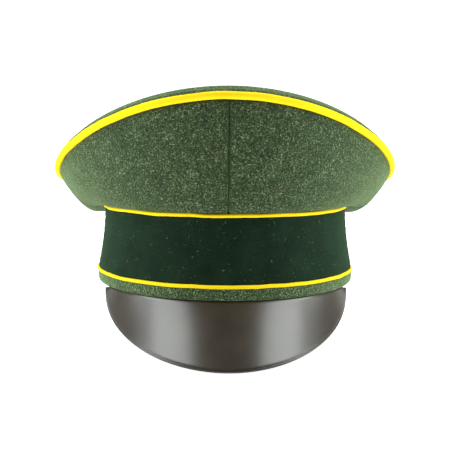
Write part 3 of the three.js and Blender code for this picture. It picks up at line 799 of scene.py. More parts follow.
def visor_edge(across):
    turn = across * math.pi / 2
    reach = VISOR_CORNER + (VISOR_REACH - VISOR_CORNER) * np.cos(turn) ** VISOR_TAPER
    z = visor_rise(across) - VISOR_DROP * np.cos(turn) ** VISOR_SWEEP
    return vectors(VISOR_WIDTH * np.sin(turn), reach, z)


def visor_root(across):
    return band_wall(VISOR_ROOT * across, visor_rise(across) + VISOR_SEAM_Z, 0.6 * MM)


def visor_normal(across):
    reach = visor_edge(across) - visor_root(across)
    short = np.linalg.norm(reach, axis=-1, keepdims=True) < 6 * MM
    reach = np.where(short, -UP, reach)
    side = visor_root(across + 0.01) - visor_root(across - 0.01)
    return unit(np.cross(reach, side))


def visor_point(across, share, depth):
    """A point of the visor from its root to its edge, set in from its upper face."""
    across, share = np.broadcast_arrays(across, share)
    root, edge = visor_root(across), visor_edge(across)
    return root + (edge - root) * share[..., None] - visor_normal(across) * depth


def visor_end(across, room):
    """The share of the visor's width that stops short of its edge by some room."""
    width = np.linalg.norm(visor_root(across) - visor_edge(across), axis=-1)
    return np.maximum(0.12, 1 - room / width)


def sweatband_inset(turn, z):
    """How far the sweatband stands in from the band: more at the front, over the visor's flange."""
    front = 1 - smoothstep(from_front(turn), VISOR_ROOT, 1.5 * VISOR_ROOT)
    rise = smoothstep(z, SWEAT_FOOT, SWEAT_TOP)
    return SWEAT_INSET + SWEAT_LEAN * rise + SWEAT_FRONT * front


def ceiling_z(y):
    return CEILING_Z - CEILING_SLOPE * (y - RIM_Y)


# ---- Spacing ----


def ring(count):
    """Evenly spaced turns round the cap, as a column, from the back."""
    return (-math.pi + 2 * math.pi * np.arange(count) / count)[:, None]


SEAM_SLIT = 0.05 * MM
SEAM_STEPS = np.array([0, 0.15, 0.3, 0.5, 0.75, 1.05, 1.5, 2.2, 3.2, 5, 7.5]) * MM
SEAM_RADIUS = 105 * MM  # of the cap's wall, about, which turns a distance from a seam into an angle


def between_seams(start, end, step=math.radians(2)):
    """Turns from one seam to the next, close together by the seams, as a column."""
    near = (SEAM_STEPS + SEAM_SLIT) / SEAM_RADIUS
    reach = near[-1] + step
    middle = np.linspace(start + reach, end - reach, round((end - start - 2 * reach) / step) + 1)
    return np.concatenate([start + near, middle, end - near[::-1]])[:, None]


def edge_steps(low, high, count):
    """Values from low to high, close together by both ends."""
    near = np.array([0, 0.25, 0.55, 1.0, 1.7]) * MM
    middle = np.linspace(low + 2.6 * MM, high - 2.6 * MM, count)
    return np.concatenate([low + near, middle, high - near[::-1]])


def tuck(distance, depth, width):
    """How far cloth turns in, by its distance from the seam."""
    return depth * np.exp(-((distance / width) ** 2))


# ---- Geometry nodes ----


def node_tool(name, inputs):
    """A new geometry node tree with a geometry in and out, and these named inputs."""
    tree = bpy.data.node_groups.new(name, "GeometryNodeTree")
    tree.interface.new_socket("Geometry", in_out="OUTPUT", socket_type="NodeSocketGeometry")
    tree.interface.new_socket("Geometry", in_out="INPUT", socket_type="NodeSocketGeometry")
    for label, kind, value in inputs:
        socket = tree.interface.new_socket(label, in_out="INPUT", socket_type=f"NodeSocket{kind}")
        if value is not None:
            socket.default_value = value
    graph = Graph(tree)
    return graph, graph.add("NodeGroupInput")


def tool_end(graph, given, geometry):
    """Ends a tree with plain, smooth geometry in the given material."""
    smooth = graph.add("GeometryNodeSetShadeSmooth", {}, {"Geometry": geometry})
    plain = graph.add("GeometryNodeRealizeInstances", {}, {"Geometry": smooth})
    inputs = {"Geometry": plain, "Material": given.output("Material")}
    dressed = graph.add("GeometryNodeSetMaterial", {}, inputs)
    graph.add("NodeGroupOutput", {}, {"Geometry": dressed})
    return graph.tree


def cord_tool():
    """A felt cord along a path: round, a little uneven and lightly napped."""
    graph, given = node_tool("Cord along a path", [
        ("Radius", "Float", CROWN_CORD),
        ("Step", "Float", 2 * MM),
        ("Sides", "Int", 14),
        ("Wave", "Float", 0.2 * MM),
        ("Nap", "Float", 0.05 * MM),
        ("Material", "Material", None),
    ])
    line = graph.add("GeometryNodeResampleCurve", {"mode": "LENGTH"},
                     {"Curve": given, "Length": given.output("Step")})
    place = graph.add("GeometryNodeInputPosition")
    stray = noise_offset(graph, place, 22 * MM, given.output("Wave"))
    line = graph.add("GeometryNodeSetPosition", {}, {"Geometry": line, "Offset": stray})
    section = graph.add("GeometryNodeCurvePrimitiveCircle", {},
                        {"Resolution": given.output("Sides"), "Radius": given.output("Radius")})
    tube = graph.tube(line, section)
    nap = noise_offset(graph, place, 1.3 * MM, given.output("Nap"))
    tube = graph.add("GeometryNodeSetPosition", {}, {"Geometry": tube, "Offset": nap})
    return tool_end(graph, given, tube)


def noise_offset(graph, place, grain, height):
    """A small push in a direction that wanders over a grain of that size."""
    field = graph.add("ShaderNodeTexNoise", {}, {"Vector": place, "Scale": 1 / grain, "Detail": 1.0},
                      output="Color")
    return graph.vector("SCALE", graph.vector("SUBTRACT", field, (0.5, 0.5, 0.5)), height * 4)


def stitch_tool():
    """Stitches along a path, straight, slanting or in a zigzag."""
    graph, given = node_tool("Stitches along a path", [
        ("Spacing", "Float", 3.6 * MM),
        ("Length", "Float", 2.6 * MM),
        ("Thread", "Float", 0.22 * MM),
        ("Slant", "Float", 0.0),
        ("Zigzag", "Float", 0.0),
        ("Upward", "Vector", tuple(UPWARD)),
        ("Seed", "Int", 1),
        ("Material", "Material", None),
    ])
    points = graph.add("GeometryNodeCurveToPoints", {"mode": "LENGTH"},
                       {"Curve": given, "Length": given.output("Spacing")})
    index = graph.add("GeometryNodeInputIndex")
    parity = index.math("MODULO", index, 2.0)
    sign = 1.0 - parity * 2.0 * given.output("Zigzag")
    lean = graph.random(-0.06, 0.06, index, given.output("Seed"))
    slope = given.output("Slant") * sign + lean
    rise = graph.vector("SCALE", given.output("Upward"), slope.math("SINE", slope))
    ahead = graph.vector("SCALE", points.output("Tangent"), slope.math("COSINE", slope))
    heading = graph.vector("ADD", rise, ahead)
    turn = graph.add("FunctionNodeAlignRotationToVector", {"axis": "Z"}, {"Vector": heading})
    bead = graph.add("GeometryNodeMeshUVSphere", {}, {"Segments": 6, "Rings": 5, "Radius": 1.0})
    size = graph.combine(given.output("Thread"), given.output("Thread"), given.output("Length") * 0.5)
    stitches = graph.add("GeometryNodeInstanceOnPoints", {},
                         {"Points": points, "Instance": bead, "Rotation": turn, "Scale": size})
    return tool_end(graph, given, stitches)


def fibre_tool():
    """Short bent fibres scattered over a surface."""
    graph, given = node_tool("Loose fibres", [
        ("Density", "Float", 4000.0),
        ("Length", "Float", 2 * MM),
        ("Thickness", "Float", 0.04 * MM),
        ("Rise", "Float", 0.2),
        ("Seed", "Int", 1),
        ("Material", "Material", None),
    ])
    spread = graph.add("GeometryNodeDistributePointsOnFaces", {"distribute_method": "RANDOM"}, {
        "Mesh": given, "Density": given.output("Density"), "Seed": given.output("Seed")})
    bend = graph.combine(0.35, 0.16, given.output("Rise") * 1.6)
    tip = graph.combine(1.0, 0.0, given.output("Rise"))
    arc = graph.add("GeometryNodeCurveQuadraticBezier", {},
                    {"Resolution": 4, "Start": (0.0, 0.0, 0.02), "Middle": bend, "End": tip})
    section = graph.add("GeometryNodeCurvePrimitiveCircle", {},
                        {"Resolution": 3, "Radius": given.output("Thickness") / given.output("Length")})
    fibre = graph.tube(arc, section)
    index = graph.add("GeometryNodeInputIndex")
    spin = graph.add("FunctionNodeRandomValue", {"data_type": "FLOAT_VECTOR"},
                     {0: (-0.15, -0.15, 0.0), 1: (0.15, 0.15, 6.283), "ID": index,
                      "Seed": given.output("Seed")})
    spin = graph.add("FunctionNodeEulerToRotation", {}, {0: spin})
    turn = graph.add("FunctionNodeRotateRotation", {"rotation_space": "LOCAL"},
                     {"Rotation": spread.output("Rotation"), "Rotate By": spin})
    share = graph.random(0.45, 1.5, index, given.output("Seed"))
    fibres = graph.add("GeometryNodeInstanceOnPoints", {}, {
        "Points": spread, "Instance": fibre, "Rotation": turn, "Scale": share * given.output("Length")})
    return tool_end(graph, given, fibres)


def punch_tool():
    """Round holes punched through a strip, in even steps along a path."""
    graph, given = node_tool("Air holes", [
        ("Path", "Object", None),
        ("Spacing", "Float", 7.5 * MM),
        ("Radius", "Float", 0.7 * MM),
        ("Depth", "Float", 6 * MM),
        ("Material", "Material", None),
    ])
    path = graph.add("GeometryNodeObjectInfo", {}, {"Object": given.output("Path")}, output="Geometry")
    points = graph.add("GeometryNodeCurveToPoints", {"mode": "LENGTH"},
                       {"Curve": path, "Length": given.output("Spacing")})
    through = graph.vector("CROSS_PRODUCT", points.output("Tangent"), tuple(UPWARD))
    turn = graph.add("FunctionNodeAlignRotationToVector", {"axis": "Z"}, {"Vector": through})
    pin = graph.add("GeometryNodeMeshCylinder", {}, {
        "Vertices": 12, "Radius": given.output("Radius"), "Depth": given.output("Depth")})
    pins = graph.add("GeometryNodeInstanceOnPoints", {},
                     {"Points": points, "Instance": pin, "Rotation": turn})
    cut = graph.add("GeometryNodeMeshBoolean", {"operation": "DIFFERENCE", "solver": "EXACT"},
                    {"Mesh 1": given, "Mesh 2": pins})
    return tool_end(graph, given, cut)


TOOLS = {"cord": cord_tool, "stitch": stitch_tool, "fibres": fibre_tool, "punch": punch_tool}


def with_nodes(name, source, tool, **inputs):
    """The result of a node tool on a source object, as a plain mesh object."""
    tree = bpy.data.node_groups.get(f"cap {tool}")
    if tree is None:
        tree = TOOLS[tool]()
        tree.name = f"cap {tool}"
    sockets = {item.name: item.identifier for item in tree.interface.items_tree if item.in_out == "INPUT"}
    modifier = source.modifiers.new("cap", "NODES")
    modifier.node_group = tree
    for label, value in inputs.items():
        modifier[sockets[label]] = value
    graph = bpy.context.evaluated_depsgraph_get()
    mesh = bpy.data.meshes.new_from_object(source.evaluated_get(graph), depsgraph=graph)
    source.modifiers.remove(modifier)
    if not mesh.polygons:
        raise RuntimeError(f"{name}: the {tool} tool made nothing")
    mesh.name = name
    return placed(name, mesh)


def path_object(points, closed):
    """A curve object through points of the worn cap."""
    data = bpy.data.curves.new("path", "CURVE")
    data.dimensions = "3D"
    spline = data.splines.new("POLY")
    spline.points.add(len(points) - 1)
    weighted = np.concatenate([to_row(points), np.ones((len(points), 1))], axis=1)
    spline.points.foreach_set("co", weighted.ravel())
    spline.use_cyclic_u = closed
    return placed("path", data)


def drop(source):
    """Removes a helper object and its data."""
    data = source.data
    bpy.data.objects.remove(source)
    (bpy.data.curves if isinstance(data, bpy.types.Curve) else bpy.data.meshes).remove(data)


def cord(name, points, closed, radius, finish, wave=0.0, nap=0.0, sides=14, step=2 * MM):
    path = path_object(points, closed)
    piece = with_nodes(name, path, "cord", Radius=radius, Step=step, Sides=sides, Wave=wave, Nap=nap,
                       Material=finish)
    drop(path)
    return piece


def stitches(name, points, closed, finish, sizes, slant=0.0, zigzag=0.0, seed=1, scale=1.0):
    path = path_object(points, closed)
    piece = with_nodes(name, path, "stitch", Spacing=sizes.stitch_gap * scale,
                       Length=sizes.stitch * scale, Thread=sizes.thread, Slant=slant, Zigzag=zigzag,
                       Upward=tuple(UPWARD), Seed=seed, Material=finish)
    drop(path)
    return piece


# ---- Fitting a piece to the frame ----


def settle(piece, slot, *nodes):
    """The piece rides on the cap and hides the CAD nodes that it stands for. The slot is not used."""
    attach(piece, BODY)
    if nodes:
        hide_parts(*nodes)
    return piece


def declare_sheet(face, spare=1.0):
    """Works out the width, height and cut area of a cloth piece from its face; nothing is done with them.
    """
    spans = run_lengths(face, 0)[-1].max(), run_lengths(face, 1)[:, -1].max()
    a, b, c, d = face[:-1, :-1], face[1:, :-1], face[1:, 1:], face[:-1, 1:]
    area = np.linalg.norm(np.cross(c - a, d - b), axis=-1).sum() / 2
    width, height = (max(span * math.sqrt(spare), 10.1 * MM) for span in spans)
    cut = min(area * spare, width * height)


def dress(node, finish):
    """Gives a CAD node that stays in view its material."""
    piece = frame["nodes"][node]
    piece.data.materials.clear()
    piece.data.materials.append(finish)


# ---- Crown ----

SIDES = {"right": -1, "left": 1}  # of the wearer
LUMP = 0.22 * MM  # how uneven the cloth of the wall is
PANEL_HEIGHT = 85 * MM  # of the wall, about
ROLL_ALLOWANCE = 22 * MM  # how much wider the top is cut than the rim
CORD_NAP = 0.06 * MM  # how rough the felt of a piping is


def crown_panel_face(sizes, start, end):
    """Outer and inner points of one wall panel between two seams."""
    turn = between_seams(start, end)
    share = np.concatenate([[0, 0.004, 0.01, 0.02], np.linspace(0.04, 0.96, 40), [0.975, 0.985, 0.993, 1]])
    share = share[None, :]
    to_seam = np.minimum(turn - start, end - turn) * SEAM_RADIUS
    depth = tuck(to_seam, sizes.seam_depth, sizes.seam_width)
    depth = depth + tuck(share * PANEL_HEIGHT, 0.7 * MM, 0.7 * MM)
    depth = depth + tuck((1 - share) * PANEL_HEIGHT, 2.4 * MM, 1.2 * MM)
    lump = LUMP * np.sin(5 * turn + 4 * share) * np.sin(math.pi * share) ** 2
    lump = lump + 0.6 * LUMP * np.sin(13 * turn - 9 * share + 1) * np.sin(math.pi * share) ** 2
    outer = crown_point(turn, share, depth + lump)
    inner = crown_point(turn, share, PANEL_THICK + 0.3 * depth + lump)
    return outer, inner


def make_crown(context):
    """The four panels of the wall, then the top."""
    sizes, wool = context.scene.cap_sizes, crown_wool(context)
    quarter = math.pi / 2
    for side, sign in SIDES.items():
        for place, start in (("front", 0), ("rear", 1)):
            ends = sorted((sign * quarter * start, sign * quarter * (start + 1)))
            outer, inner = crown_panel_face(sizes, *ends)
            piece = swept(f"wool_{place}_{side}", shell(outer, inner), False, wool)
            settle(piece, "crown_wool", f"crown_{place}_{side}_panel")
            declare_sheet(outer)
    make_top(context, wool)


def roll_end(turn):
    """How far round the wire the top panel goes before it meets the piping."""
    back = wire_point(turn) - rim_point(turn)
    x, z = -WIRE_INSET, back[..., 2]
    gap = 0.93 * CROWN_CORD
    reach = np.hypot(x, z)
    bend = (gap**2 - reach**2 - ROLL_RADIUS**2) / (2 * ROLL_RADIUS * reach)
    return np.arctan2(z, x) % (2 * math.pi) - np.arccos(np.clip(bend, -1, 1))


def top_face(turn, depth):
    """Points of the top panel from its middle out over the roll, set in by depth."""
    share = np.concatenate([np.linspace(0, 0.86, 34), np.linspace(0.88, ROLL_SHARE, 8)])[None, :]
    flat = top_point(turn, share)
    step = 0.004
    along = top_point(turn, share + step) - top_point(turn, share)
    side = vectors(np.cos(turn), np.sin(turn), 0 * turn)
    flat = flat - unit(np.cross(side, along)) * depth
    end = roll_end(turn[:, 0])[:, None]
    bend = math.pi / 2 + (end - math.pi / 2) * np.linspace(0, 1, 12)[None, 1:]
    out = rim_outward(turn)
    radius = ROLL_RADIUS - depth
    roll = wire_point(turn) + radius * (np.cos(bend)[..., None] * out + np.sin(bend)[..., None] * UP)
    return np.concatenate([flat, roll], axis=1)


def make_top(context, wool):
    """The top panel, from its middle out and over the wire."""
    turn = ring(216)
    outer, inner = top_face(turn, 0.0), top_face(turn, PANEL_THICK)
    middle = outer[:, :1].mean(0, keepdims=True)
    outer[:, :1] = middle
    inner[:, :1] = middle - PANEL_THICK * UP
    piece = disc("wool_top", shell(outer, inner), wool)
    settle(piece, "crown_wool", "crown_top_panel")
    width, depth = 2 * RIM_WIDTH + ROLL_ALLOWANCE, 2 * RIM_LENGTH + ROLL_ALLOWANCE
    math.pi / 4 * width * depth


def make_pipings(context):
    """The thick piping of the rim and the two thin ones of the band."""
    sizes, felt = context.scene.cap_sizes, piping_felt(context)
    rim = rim_point(ring(720)[:, 0])
    piece = cord("felt_crown_piping", rim, True, CROWN_CORD + NAP, felt, sizes.cord_wave, CORD_NAP,
                 sides=24, step=1.1 * MM)
    settle(piece, "piping_felt", "crown_piping")
    for name, height in (("upper", BAND_HIGH), ("lower", BAND_LOW)):
        line = band_wall(ring(720)[:, 0], height, BAND_CORD_INSET)
        piece = cord(f"felt_{name}_piping", line, True, BAND_CORD, felt, 1.3 * sizes.cord_wave, CORD_NAP,
                     sides=16, step=1.0 * MM)
        settle(piece, "piping_felt", f"band_{name}_piping")


# ---- Head band ----


def band_face(turn, heights, inset, depth):
    return band_wall(turn, heights[None, :], inset + depth)


def make_band(context):
    """The felt band, closed at the back, the lint on it, and the hem."""
    sizes, felt = context.scene.cap_sizes, band_felt(context)
    turn = between_seams(-math.pi, math.pi)
    to_seam = np.minimum(turn + math.pi, math.pi - turn) * SEAM_RADIUS
    seam = tuck(to_seam, 1.1 * MM, 0.7 * MM)
    heights = edge_steps(BAND_LOW + 0.8 * MM, BAND_HIGH - 0.8 * MM, 16)
    to_edge = np.minimum(heights - heights[0], heights[-1] - heights)[None, :]
    depth = seam + tuck(to_edge, 0.45 * MM, 0.8 * MM)
    depth = depth + 0.15 * MM * np.sin(9 * turn + 70 * heights[None, :] / BAND_HIGH)
    outer = band_face(turn, heights, 0.0, depth)
    inner = band_face(turn, heights, FELT_THICK, 0.3 * depth)
    piece = swept("felt_band", shell(outer, inner), False, felt)
    settle(piece, "band_felt", "band_cloth")
    declare_sheet(outer)
    pale = material("Pale lint", grainy_recipe, (0.15, 0.23, 0.16, 1), 0.4 * MM, 0.4, 0.8, 0.02 * MM)
    lint = with_nodes("felt_band_lint", piece, "fibres", Density=float(sizes.lint_count),
                      Length=sizes.lint, Thickness=0.032 * MM, Rise=0.12, Seed=11, Material=pale)
    settle(lint, "band_felt")
    make_hem(turn, seam, painted_light_hem_wool(context))


HEM_PROFILE = np.array([(0.62, 3.2), (0.2, 2.4), (0.05, 1.5), (0.75, 0.55), (1.9, 0.12), (3.4, 0.0),
                        (5.0, 0.05), (5.9, 0.35), (6.2, 0.8)]) * MM  # its height, and how far it stands in
HEM_THICK = 1.35 * MM
HEM_FULLER = 1.4 * MM  # how far its fuller front comes down over the visor


def make_hem(turn, seam, wool):
    """The strip of crown cloth under the lower piping, turned in under the band."""
    fine = curve_through(HEM_PROFILE[None], 41)[0]
    fuller = HEM_FULLER * (1 - smoothstep(from_front(turn), math.radians(100), math.radians(150)))
    lower = fuller * (1 - smoothstep(fine[None, :, 0], 0, 5 * MM))
    outer = band_wall(turn, fine[None, :, 0] - lower, fine[None, :, 1] + 0.6 * seam)
    slope = unit(np.gradient(fine, axis=0))
    inner_z = fine[:, 0] - slope[:, 1] * HEM_THICK
    inner_inset = fine[:, 1] + slope[:, 0] * HEM_THICK
    inner = band_wall(turn, inner_z[None, :] - lower, inner_inset[None, :])
    piece = swept("wool_hem", rounded_loop(outer, inner), False, wool)
    settle(piece, "crown_wool", "band_hem_strip")
    declare_sheet(outer)


# ---- Visor ----


def make_visor(context):
    """The shell with the flange that is sewn inside the band, its rim and its lining cloth."""
    across = np.linspace(-VISOR_TIP, VISOR_TIP, 121)[:, None]
    end = visor_end(across, 2 * BEAD_WIDE)
    share = end * np.linspace(1, 0, 30)[None, :]
    turn = VISOR_ROOT * across
    flange = [(-0.45, -0.3), (0.6, 0.0), (11, 0.0)]
    outer = [visor_point(across, share, 0.0)]
    outer += [band_wall(turn, z * MM, VISOR_FLANGE + more * MM) for z, more in flange]
    inner = [visor_point(across, share, VISOR_THICK)]
    inner += [band_wall(turn, z * MM, VISOR_FLANGE + VISOR_THICK + more * MM)
              for z, more in ((-2.3, -1.2), (-0.8, 0), (11, 0))]
    loops = rounded_loop(np.concatenate(outer, 1), np.concatenate(inner, 1))
    piece = swept("fibre_visor", loops, False, visor_fibre(context))
    settle(piece, "visor_fibre", "visor_shell")
    make_bead(context)
    make_visor_cloth(context)


def make_bead(context):
    """The rounded, lacquered rim along the visor's free edge."""
    across = np.linspace(-VISOR_TIP, VISOR_TIP, 161)[:, None]
    normal = visor_normal(across)
    out = unit(visor_edge(across) - visor_root(across))
    centre = visor_edge(across) - BEAD_WIDE * out - VISOR_THICK / 2 * normal
    phase = (2 * math.pi * np.arange(20) / 20)[None, :, None]
    high = VISOR_THICK / 2 + 0.12 * MM
    loops = centre + BEAD_WIDE * np.cos(phase) * out + high * np.sin(phase) * normal
    piece = swept("fibre_visor_rim", loops, False, rim_fibre(context))
    settle(piece, "visor_fibre", "visor_edge_bead")


def make_visor_cloth(context):
    """The green cloth that is glued under the visor."""
    across = np.linspace(-0.86, 0.86, 111)[:, None]
    end = visor_end(across, 3.4 * MM)
    share = 0.12 + (end - 0.12) * np.linspace(0, 1, 26)[None, :]
    depth = VISOR_THICK + 0.2 * MM
    outer = visor_point(across, share, depth)
    inner = visor_point(across, share, depth + VISOR_CLOTH_THICK)
    leathercloth = material("Green leathercloth", grainy_recipe, (0.035, 0.060, 0.035, 1), 0.9 * MM, 0.35,
                            0.55, 0.15 * MM)
    piece = swept("leathercloth_visor", rounded_loop(outer, inner), False, leathercloth)
    settle(piece, "visor_lining_cloth", "visor_lining")
    declare_sheet(outer)


# ---- Sweatband ----

JOINT = math.radians(1.2)  # half the gap at the back, which the bow closes
HOLES_Z = 21 * MM
HOLES_HALF = 0.75  # how far the air holes go to either side, as a turn
PAD_HALF = math.radians(52.5)
PAD_INSET = 3.5 * MM
PAD_EASE = 0.2 * MM
BOW_Z = 30 * MM


def make_sweatband(context):
    """The leather band with its air holes, the reed in its foot and the sewing over it."""
    sizes = context.scene.cap_sizes
    leather = material("Sweatband leather", leather_recipe, context.scene.cap_colours.leather)
    turn = np.linspace(-math.pi + JOINT, math.pi - JOINT, 181)[:, None]
    z = np.linspace(SWEAT_FOOT, SWEAT_TOP, 14)[None, :]
    wave = 0.25 * MM * np.sin(11 * turn + 1) * smoothstep(z, 20 * MM, SWEAT_TOP)
    inset = sweatband_inset(turn, z) + wave
    outer, inner = band_wall(turn, z, inset), band_wall(turn, z, inset + SWEAT_THICK)
    strip = swept("leather_strip", rounded_loop(outer, inner), False, leather)
    holes = np.linspace(-HOLES_HALF, HOLES_HALF, 60)
    row = band_wall(holes, HOLES_Z, sweatband_inset(holes, HOLES_Z) + SWEAT_THICK / 2)
    path = path_object(row, False)
    piece = with_nodes("leather_sweatband", strip, "punch", Path=path, Spacing=sizes.hole_gap,
                       Radius=sizes.hole, Depth=6 * MM, Material=leather)
    drop(path)
    drop(strip)
    settle(piece, "sweatband_leather", "sweatband")
    line = np.linspace(-math.pi + JOINT, math.pi - JOINT, 400)
    inset = sweatband_inset(line, SWEAT_FOOT) + SWEAT_THICK / 2
    reed = band_wall(line, SWEAT_FOOT - REED - 0.35 * MM, inset)
    piece = cord("leather_reed", reed, False, REED, leather, sides=12)
    settle(piece, "sweatband_leather", "sweatband_reed")
    seam_z = SWEAT_FOOT + 2.4 * MM
    seam = band_wall(line, seam_z, sweatband_inset(line, seam_z) + SWEAT_THICK + 0.08 * MM)
    sewing = stitches("thread_reed", seam, False, pale_thread(context), sizes, 0.55, 1.0, 3)
    settle(sewing, "sweatband_leather")
    make_pad(context)
    make_bow(context)


def make_pad(context):
    """The thin pad behind the forehead."""
    turn = np.linspace(-1, 1, 71)[:, None] * PAD_HALF
    z = edge_steps(14 * MM, 35 * MM, 8)[None, :]
    plump = 0.25 * MM * np.sin(math.pi * (z - z.min()) / np.ptp(z))
    outer = band_wall(turn, z, PAD_INSET + PAD_EASE - plump)
    inner = band_wall(turn, z, PAD_INSET + PAD_THICK - PAD_EASE + plump)
    foam = material("Pad foam", grainy_recipe, (0.09, 0.085, 0.07, 1), 0.9 * MM, 0.3, 0.9, 0.3 * MM)
    piece = swept("foam_pad", rounded_loop(outer, inner), False, foam)
    settle(piece, "pad_foam", "forehead_pad")


def make_bow(context):
    """A bow of thin cord, its two loops, two ends and the knot between them."""
    back = BAND_LENGTH - sweatband_inset(np.array(math.pi), SWEAT_TOP) - SWEAT_THICK - 0.9 * MM
    shapes = []
    for sign in (-1, 1):
        turn = np.linspace(0, 2 * math.pi, 40)
        loop_x = sign * 5.2 * MM * (1 - np.cos(turn))
        loop_z = BOW_Z + 2.6 * MM * np.sin(turn) * (1 - 0.2 * np.cos(turn))
        shapes.append(vectors(loop_x, back - 0.5 * MM * np.sin(turn / 2) ** 2, loop_z))
        fall = np.linspace(0, 1, 16)
        end_x = sign * MM * (4.6 * fall + 0.6 * np.sin(3 * fall))
        shapes.append(vectors(end_x, back + 0 * fall, BOW_Z - 9.6 * MM * fall))
    turn = np.linspace(0, 2 * math.pi, 24)
    knot_y = back - 0.2 * MM + 0.9 * MM * np.sin(turn)
    shapes.append(vectors(1.1 * MM * np.cos(turn), knot_y, BOW_Z + 0 * turn))
    cotton = cotton_tape(context)
    parts = [cord("bow_part", shape, False, 0.55 * MM, cotton, sides=8, step=0.6 * MM) for shape in shapes]
    with bpy.context.temp_override(active_object=parts[0], selected_editable_objects=parts):
        bpy.ops.object.join()
    parts[0].name = "cord_bow"
    settle(parts[0], "cotton_tape", "sweatband_bow")


# ---- Lining ----

SETTLING_FRAMES = 24
LINING_REACH = 4 * MM  # how far a point of the lining may settle


def relax(piece, pinned, slack):
    """Lets a slack cloth settle under its own weight, and returns the settled points."""
    group = piece.vertex_groups.new(name="sewn")
    group.add([int(k) for k in pinned], 1.0, "REPLACE")
    modifier = piece.modifiers.new("cloth", "CLOTH")
    settings = modifier.settings
    settings.quality = 6
    settings.mass = 0.12
    settings.tension_stiffness = 12
    settings.compression_stiffness = 12
    settings.shear_stiffness = 3
    settings.bending_stiffness = 0.03
    settings.vertex_group_mass = "sewn"
    settings.shrink_min = -slack
    modifier.collision_settings.use_collision = False
    scene = bpy.context.scene
    modifier.point_cache.frame_end = SETTLING_FRAMES
    for number in range(1, SETTLING_FRAMES + 1):
        scene.frame_set(number)
    settled = piece.evaluated_get(bpy.context.evaluated_depsgraph_get())
    flat = np.empty(3 * len(piece.data.vertices))
    settled.data.vertices.foreach_get("co", flat)
    piece.modifiers.remove(modifier)
    piece.vertex_groups.remove(group)
    scene.frame_set(1)
    return flat.reshape(-1, 3)


def settled_grid(name, grid, pinned, slack):
    """A ring of worn points after cloth simulation, none moved further than LINING_REACH."""
    rows, columns = grid.shape[:2]
    faces = grid_faces(strip_of(rows, columns, True, False), rows, columns)
    mesh = bpy.data.meshes.new(name)
    start = to_row(grid.reshape(-1, 3))
    mesh.from_pydata(start.tolist(), [], faces.tolist())
    piece = placed(name, mesh)
    moved = relax(piece, np.flatnonzero(pinned.ravel()), slack) - start
    drop(piece)
    far = np.linalg.norm(moved, axis=1, keepdims=True)
    moved = moved * np.minimum(1, LINING_REACH / np.maximum(far, 1e-9))
    return grid + (moved @ AXES).reshape(grid.shape)


def ring_normals(grid):
    """Unit normals of a grid of points whose rows go round a ring."""
    wrapped = np.concatenate([grid[-1:], grid, grid[:1]])
    return unit(np.cross(np.gradient(wrapped, axis=0), np.gradient(wrapped, axis=1)))[1:-1]


def make_lining(context):
    """The satin wall and ceiling, and what is sewn under the ceiling."""
    sizes = context.scene.cap_sizes
    satin = material("Lining satin", satin_recipe, context.scene.cap_colours.satin)
    make_lining_wall(context, sizes, satin)
    make_ceiling(context, sizes, satin)
    make_shield(context, sizes)
    make_label(context, sizes)


def make_lining_wall(context, sizes, satin):
    """The satin wall, sewn to the sweatband and the ceiling and slack between them."""
    turn = ring(240)
    inset = 3.6 * MM
    foot = band_wall(turn, LINING_FOOT, inset)
    knee = band_wall(turn, BAND_HIGH - 1 * MM, inset)
    edge = oval(turn, CEILING_WIDTH, CEILING_LENGTH, 0, CEILING_Y)
    edge[..., 2] = ceiling_z(edge[..., 1]) - 0.5 * MM
    bend = (knee + edge) / 2 + 0.8 * MM * outward(turn, BAND_WIDTH, BAND_LENGTH)
    face = curve_through(np.concatenate([foot, knee, bend, edge], axis=1), 25)
    pinned = np.zeros(face.shape[:2], bool)
    pinned[:, :8] = True
    pinned[:, -1] = True
    start = np.random.default_rng(5).normal(0, 0.15 * MM, face.shape[:2])
    start[pinned] = 0
    face = face + start[..., None] * outward(turn, BAND_WIDTH, BAND_LENGTH)
    face = settled_grid("lining", face, pinned, sizes.slack)
    inner = face - ring_normals(face) * LINING_THICK
    piece = swept("satin_wall", shell(face, inner), True, satin)
    settle(piece, "lining_satin", "lining_side")
    declare_sheet(np.concatenate([face, face[:1]]),
                  1 + sizes.slack)


def make_ceiling(context, sizes, satin):
    """The satin ceiling, slack except where something is sewn to it."""
    turn = ring(144)
    share = np.linspace(0, 1, 33)[None, :]
    face = oval(turn, CEILING_WIDTH * share, CEILING_LENGTH * share, 0, CEILING_Y)
    face[..., 2] = ceiling_z(face[..., 1])
    x, y = np.abs(face[..., 0]), face[..., 1]
    in_shield = x / SHIELD_WIDTH + np.abs(y - CEILING_Y) / SHIELD_LENGTH < 1.12
    pinned = in_shield | ((x < 20 * MM) & (y > 62 * MM))
    pinned[:, -2:] = True
    noise = np.random.default_rng(7).normal(0, 0.12 * MM, face.shape[:2])
    noise[pinned] = 0
    face[..., 2] += noise
    face = settled_grid("ceiling", face, pinned, sizes.slack)
    face[:, 0] = face[:1, 0]
    below = face - LINING_THICK * UP
    piece = disc("satin_ceiling", shell(face, below), satin)
    settle(piece, "lining_satin", "lining_top")


CEILING_TILT = math.atan(CEILING_SLOPE)
FILM_THICK = 0.4 * MM
SHIELD_BELOW = 0.85 * MM  # the ceiling
SHIELD_RIM = 1.5 * MM  # how far the cord and its sewing stand outside the film
LABEL_THICK = 0.4 * MM
LABEL_AT = 68 * MM  # behind the ceiling's middle
LABEL_BELOW = 0.7 * MM


def on_ceiling(x, along, below):
    """Points under the ceiling: across it, along it towards the back, and so far below it."""
    y = CEILING_Y + along * math.cos(CEILING_TILT) - below * math.sin(CEILING_TILT)
    z = ceiling_z(CEILING_Y) - along * math.sin(CEILING_TILT) - below * math.cos(CEILING_TILT)
    return vectors(x, y, z)


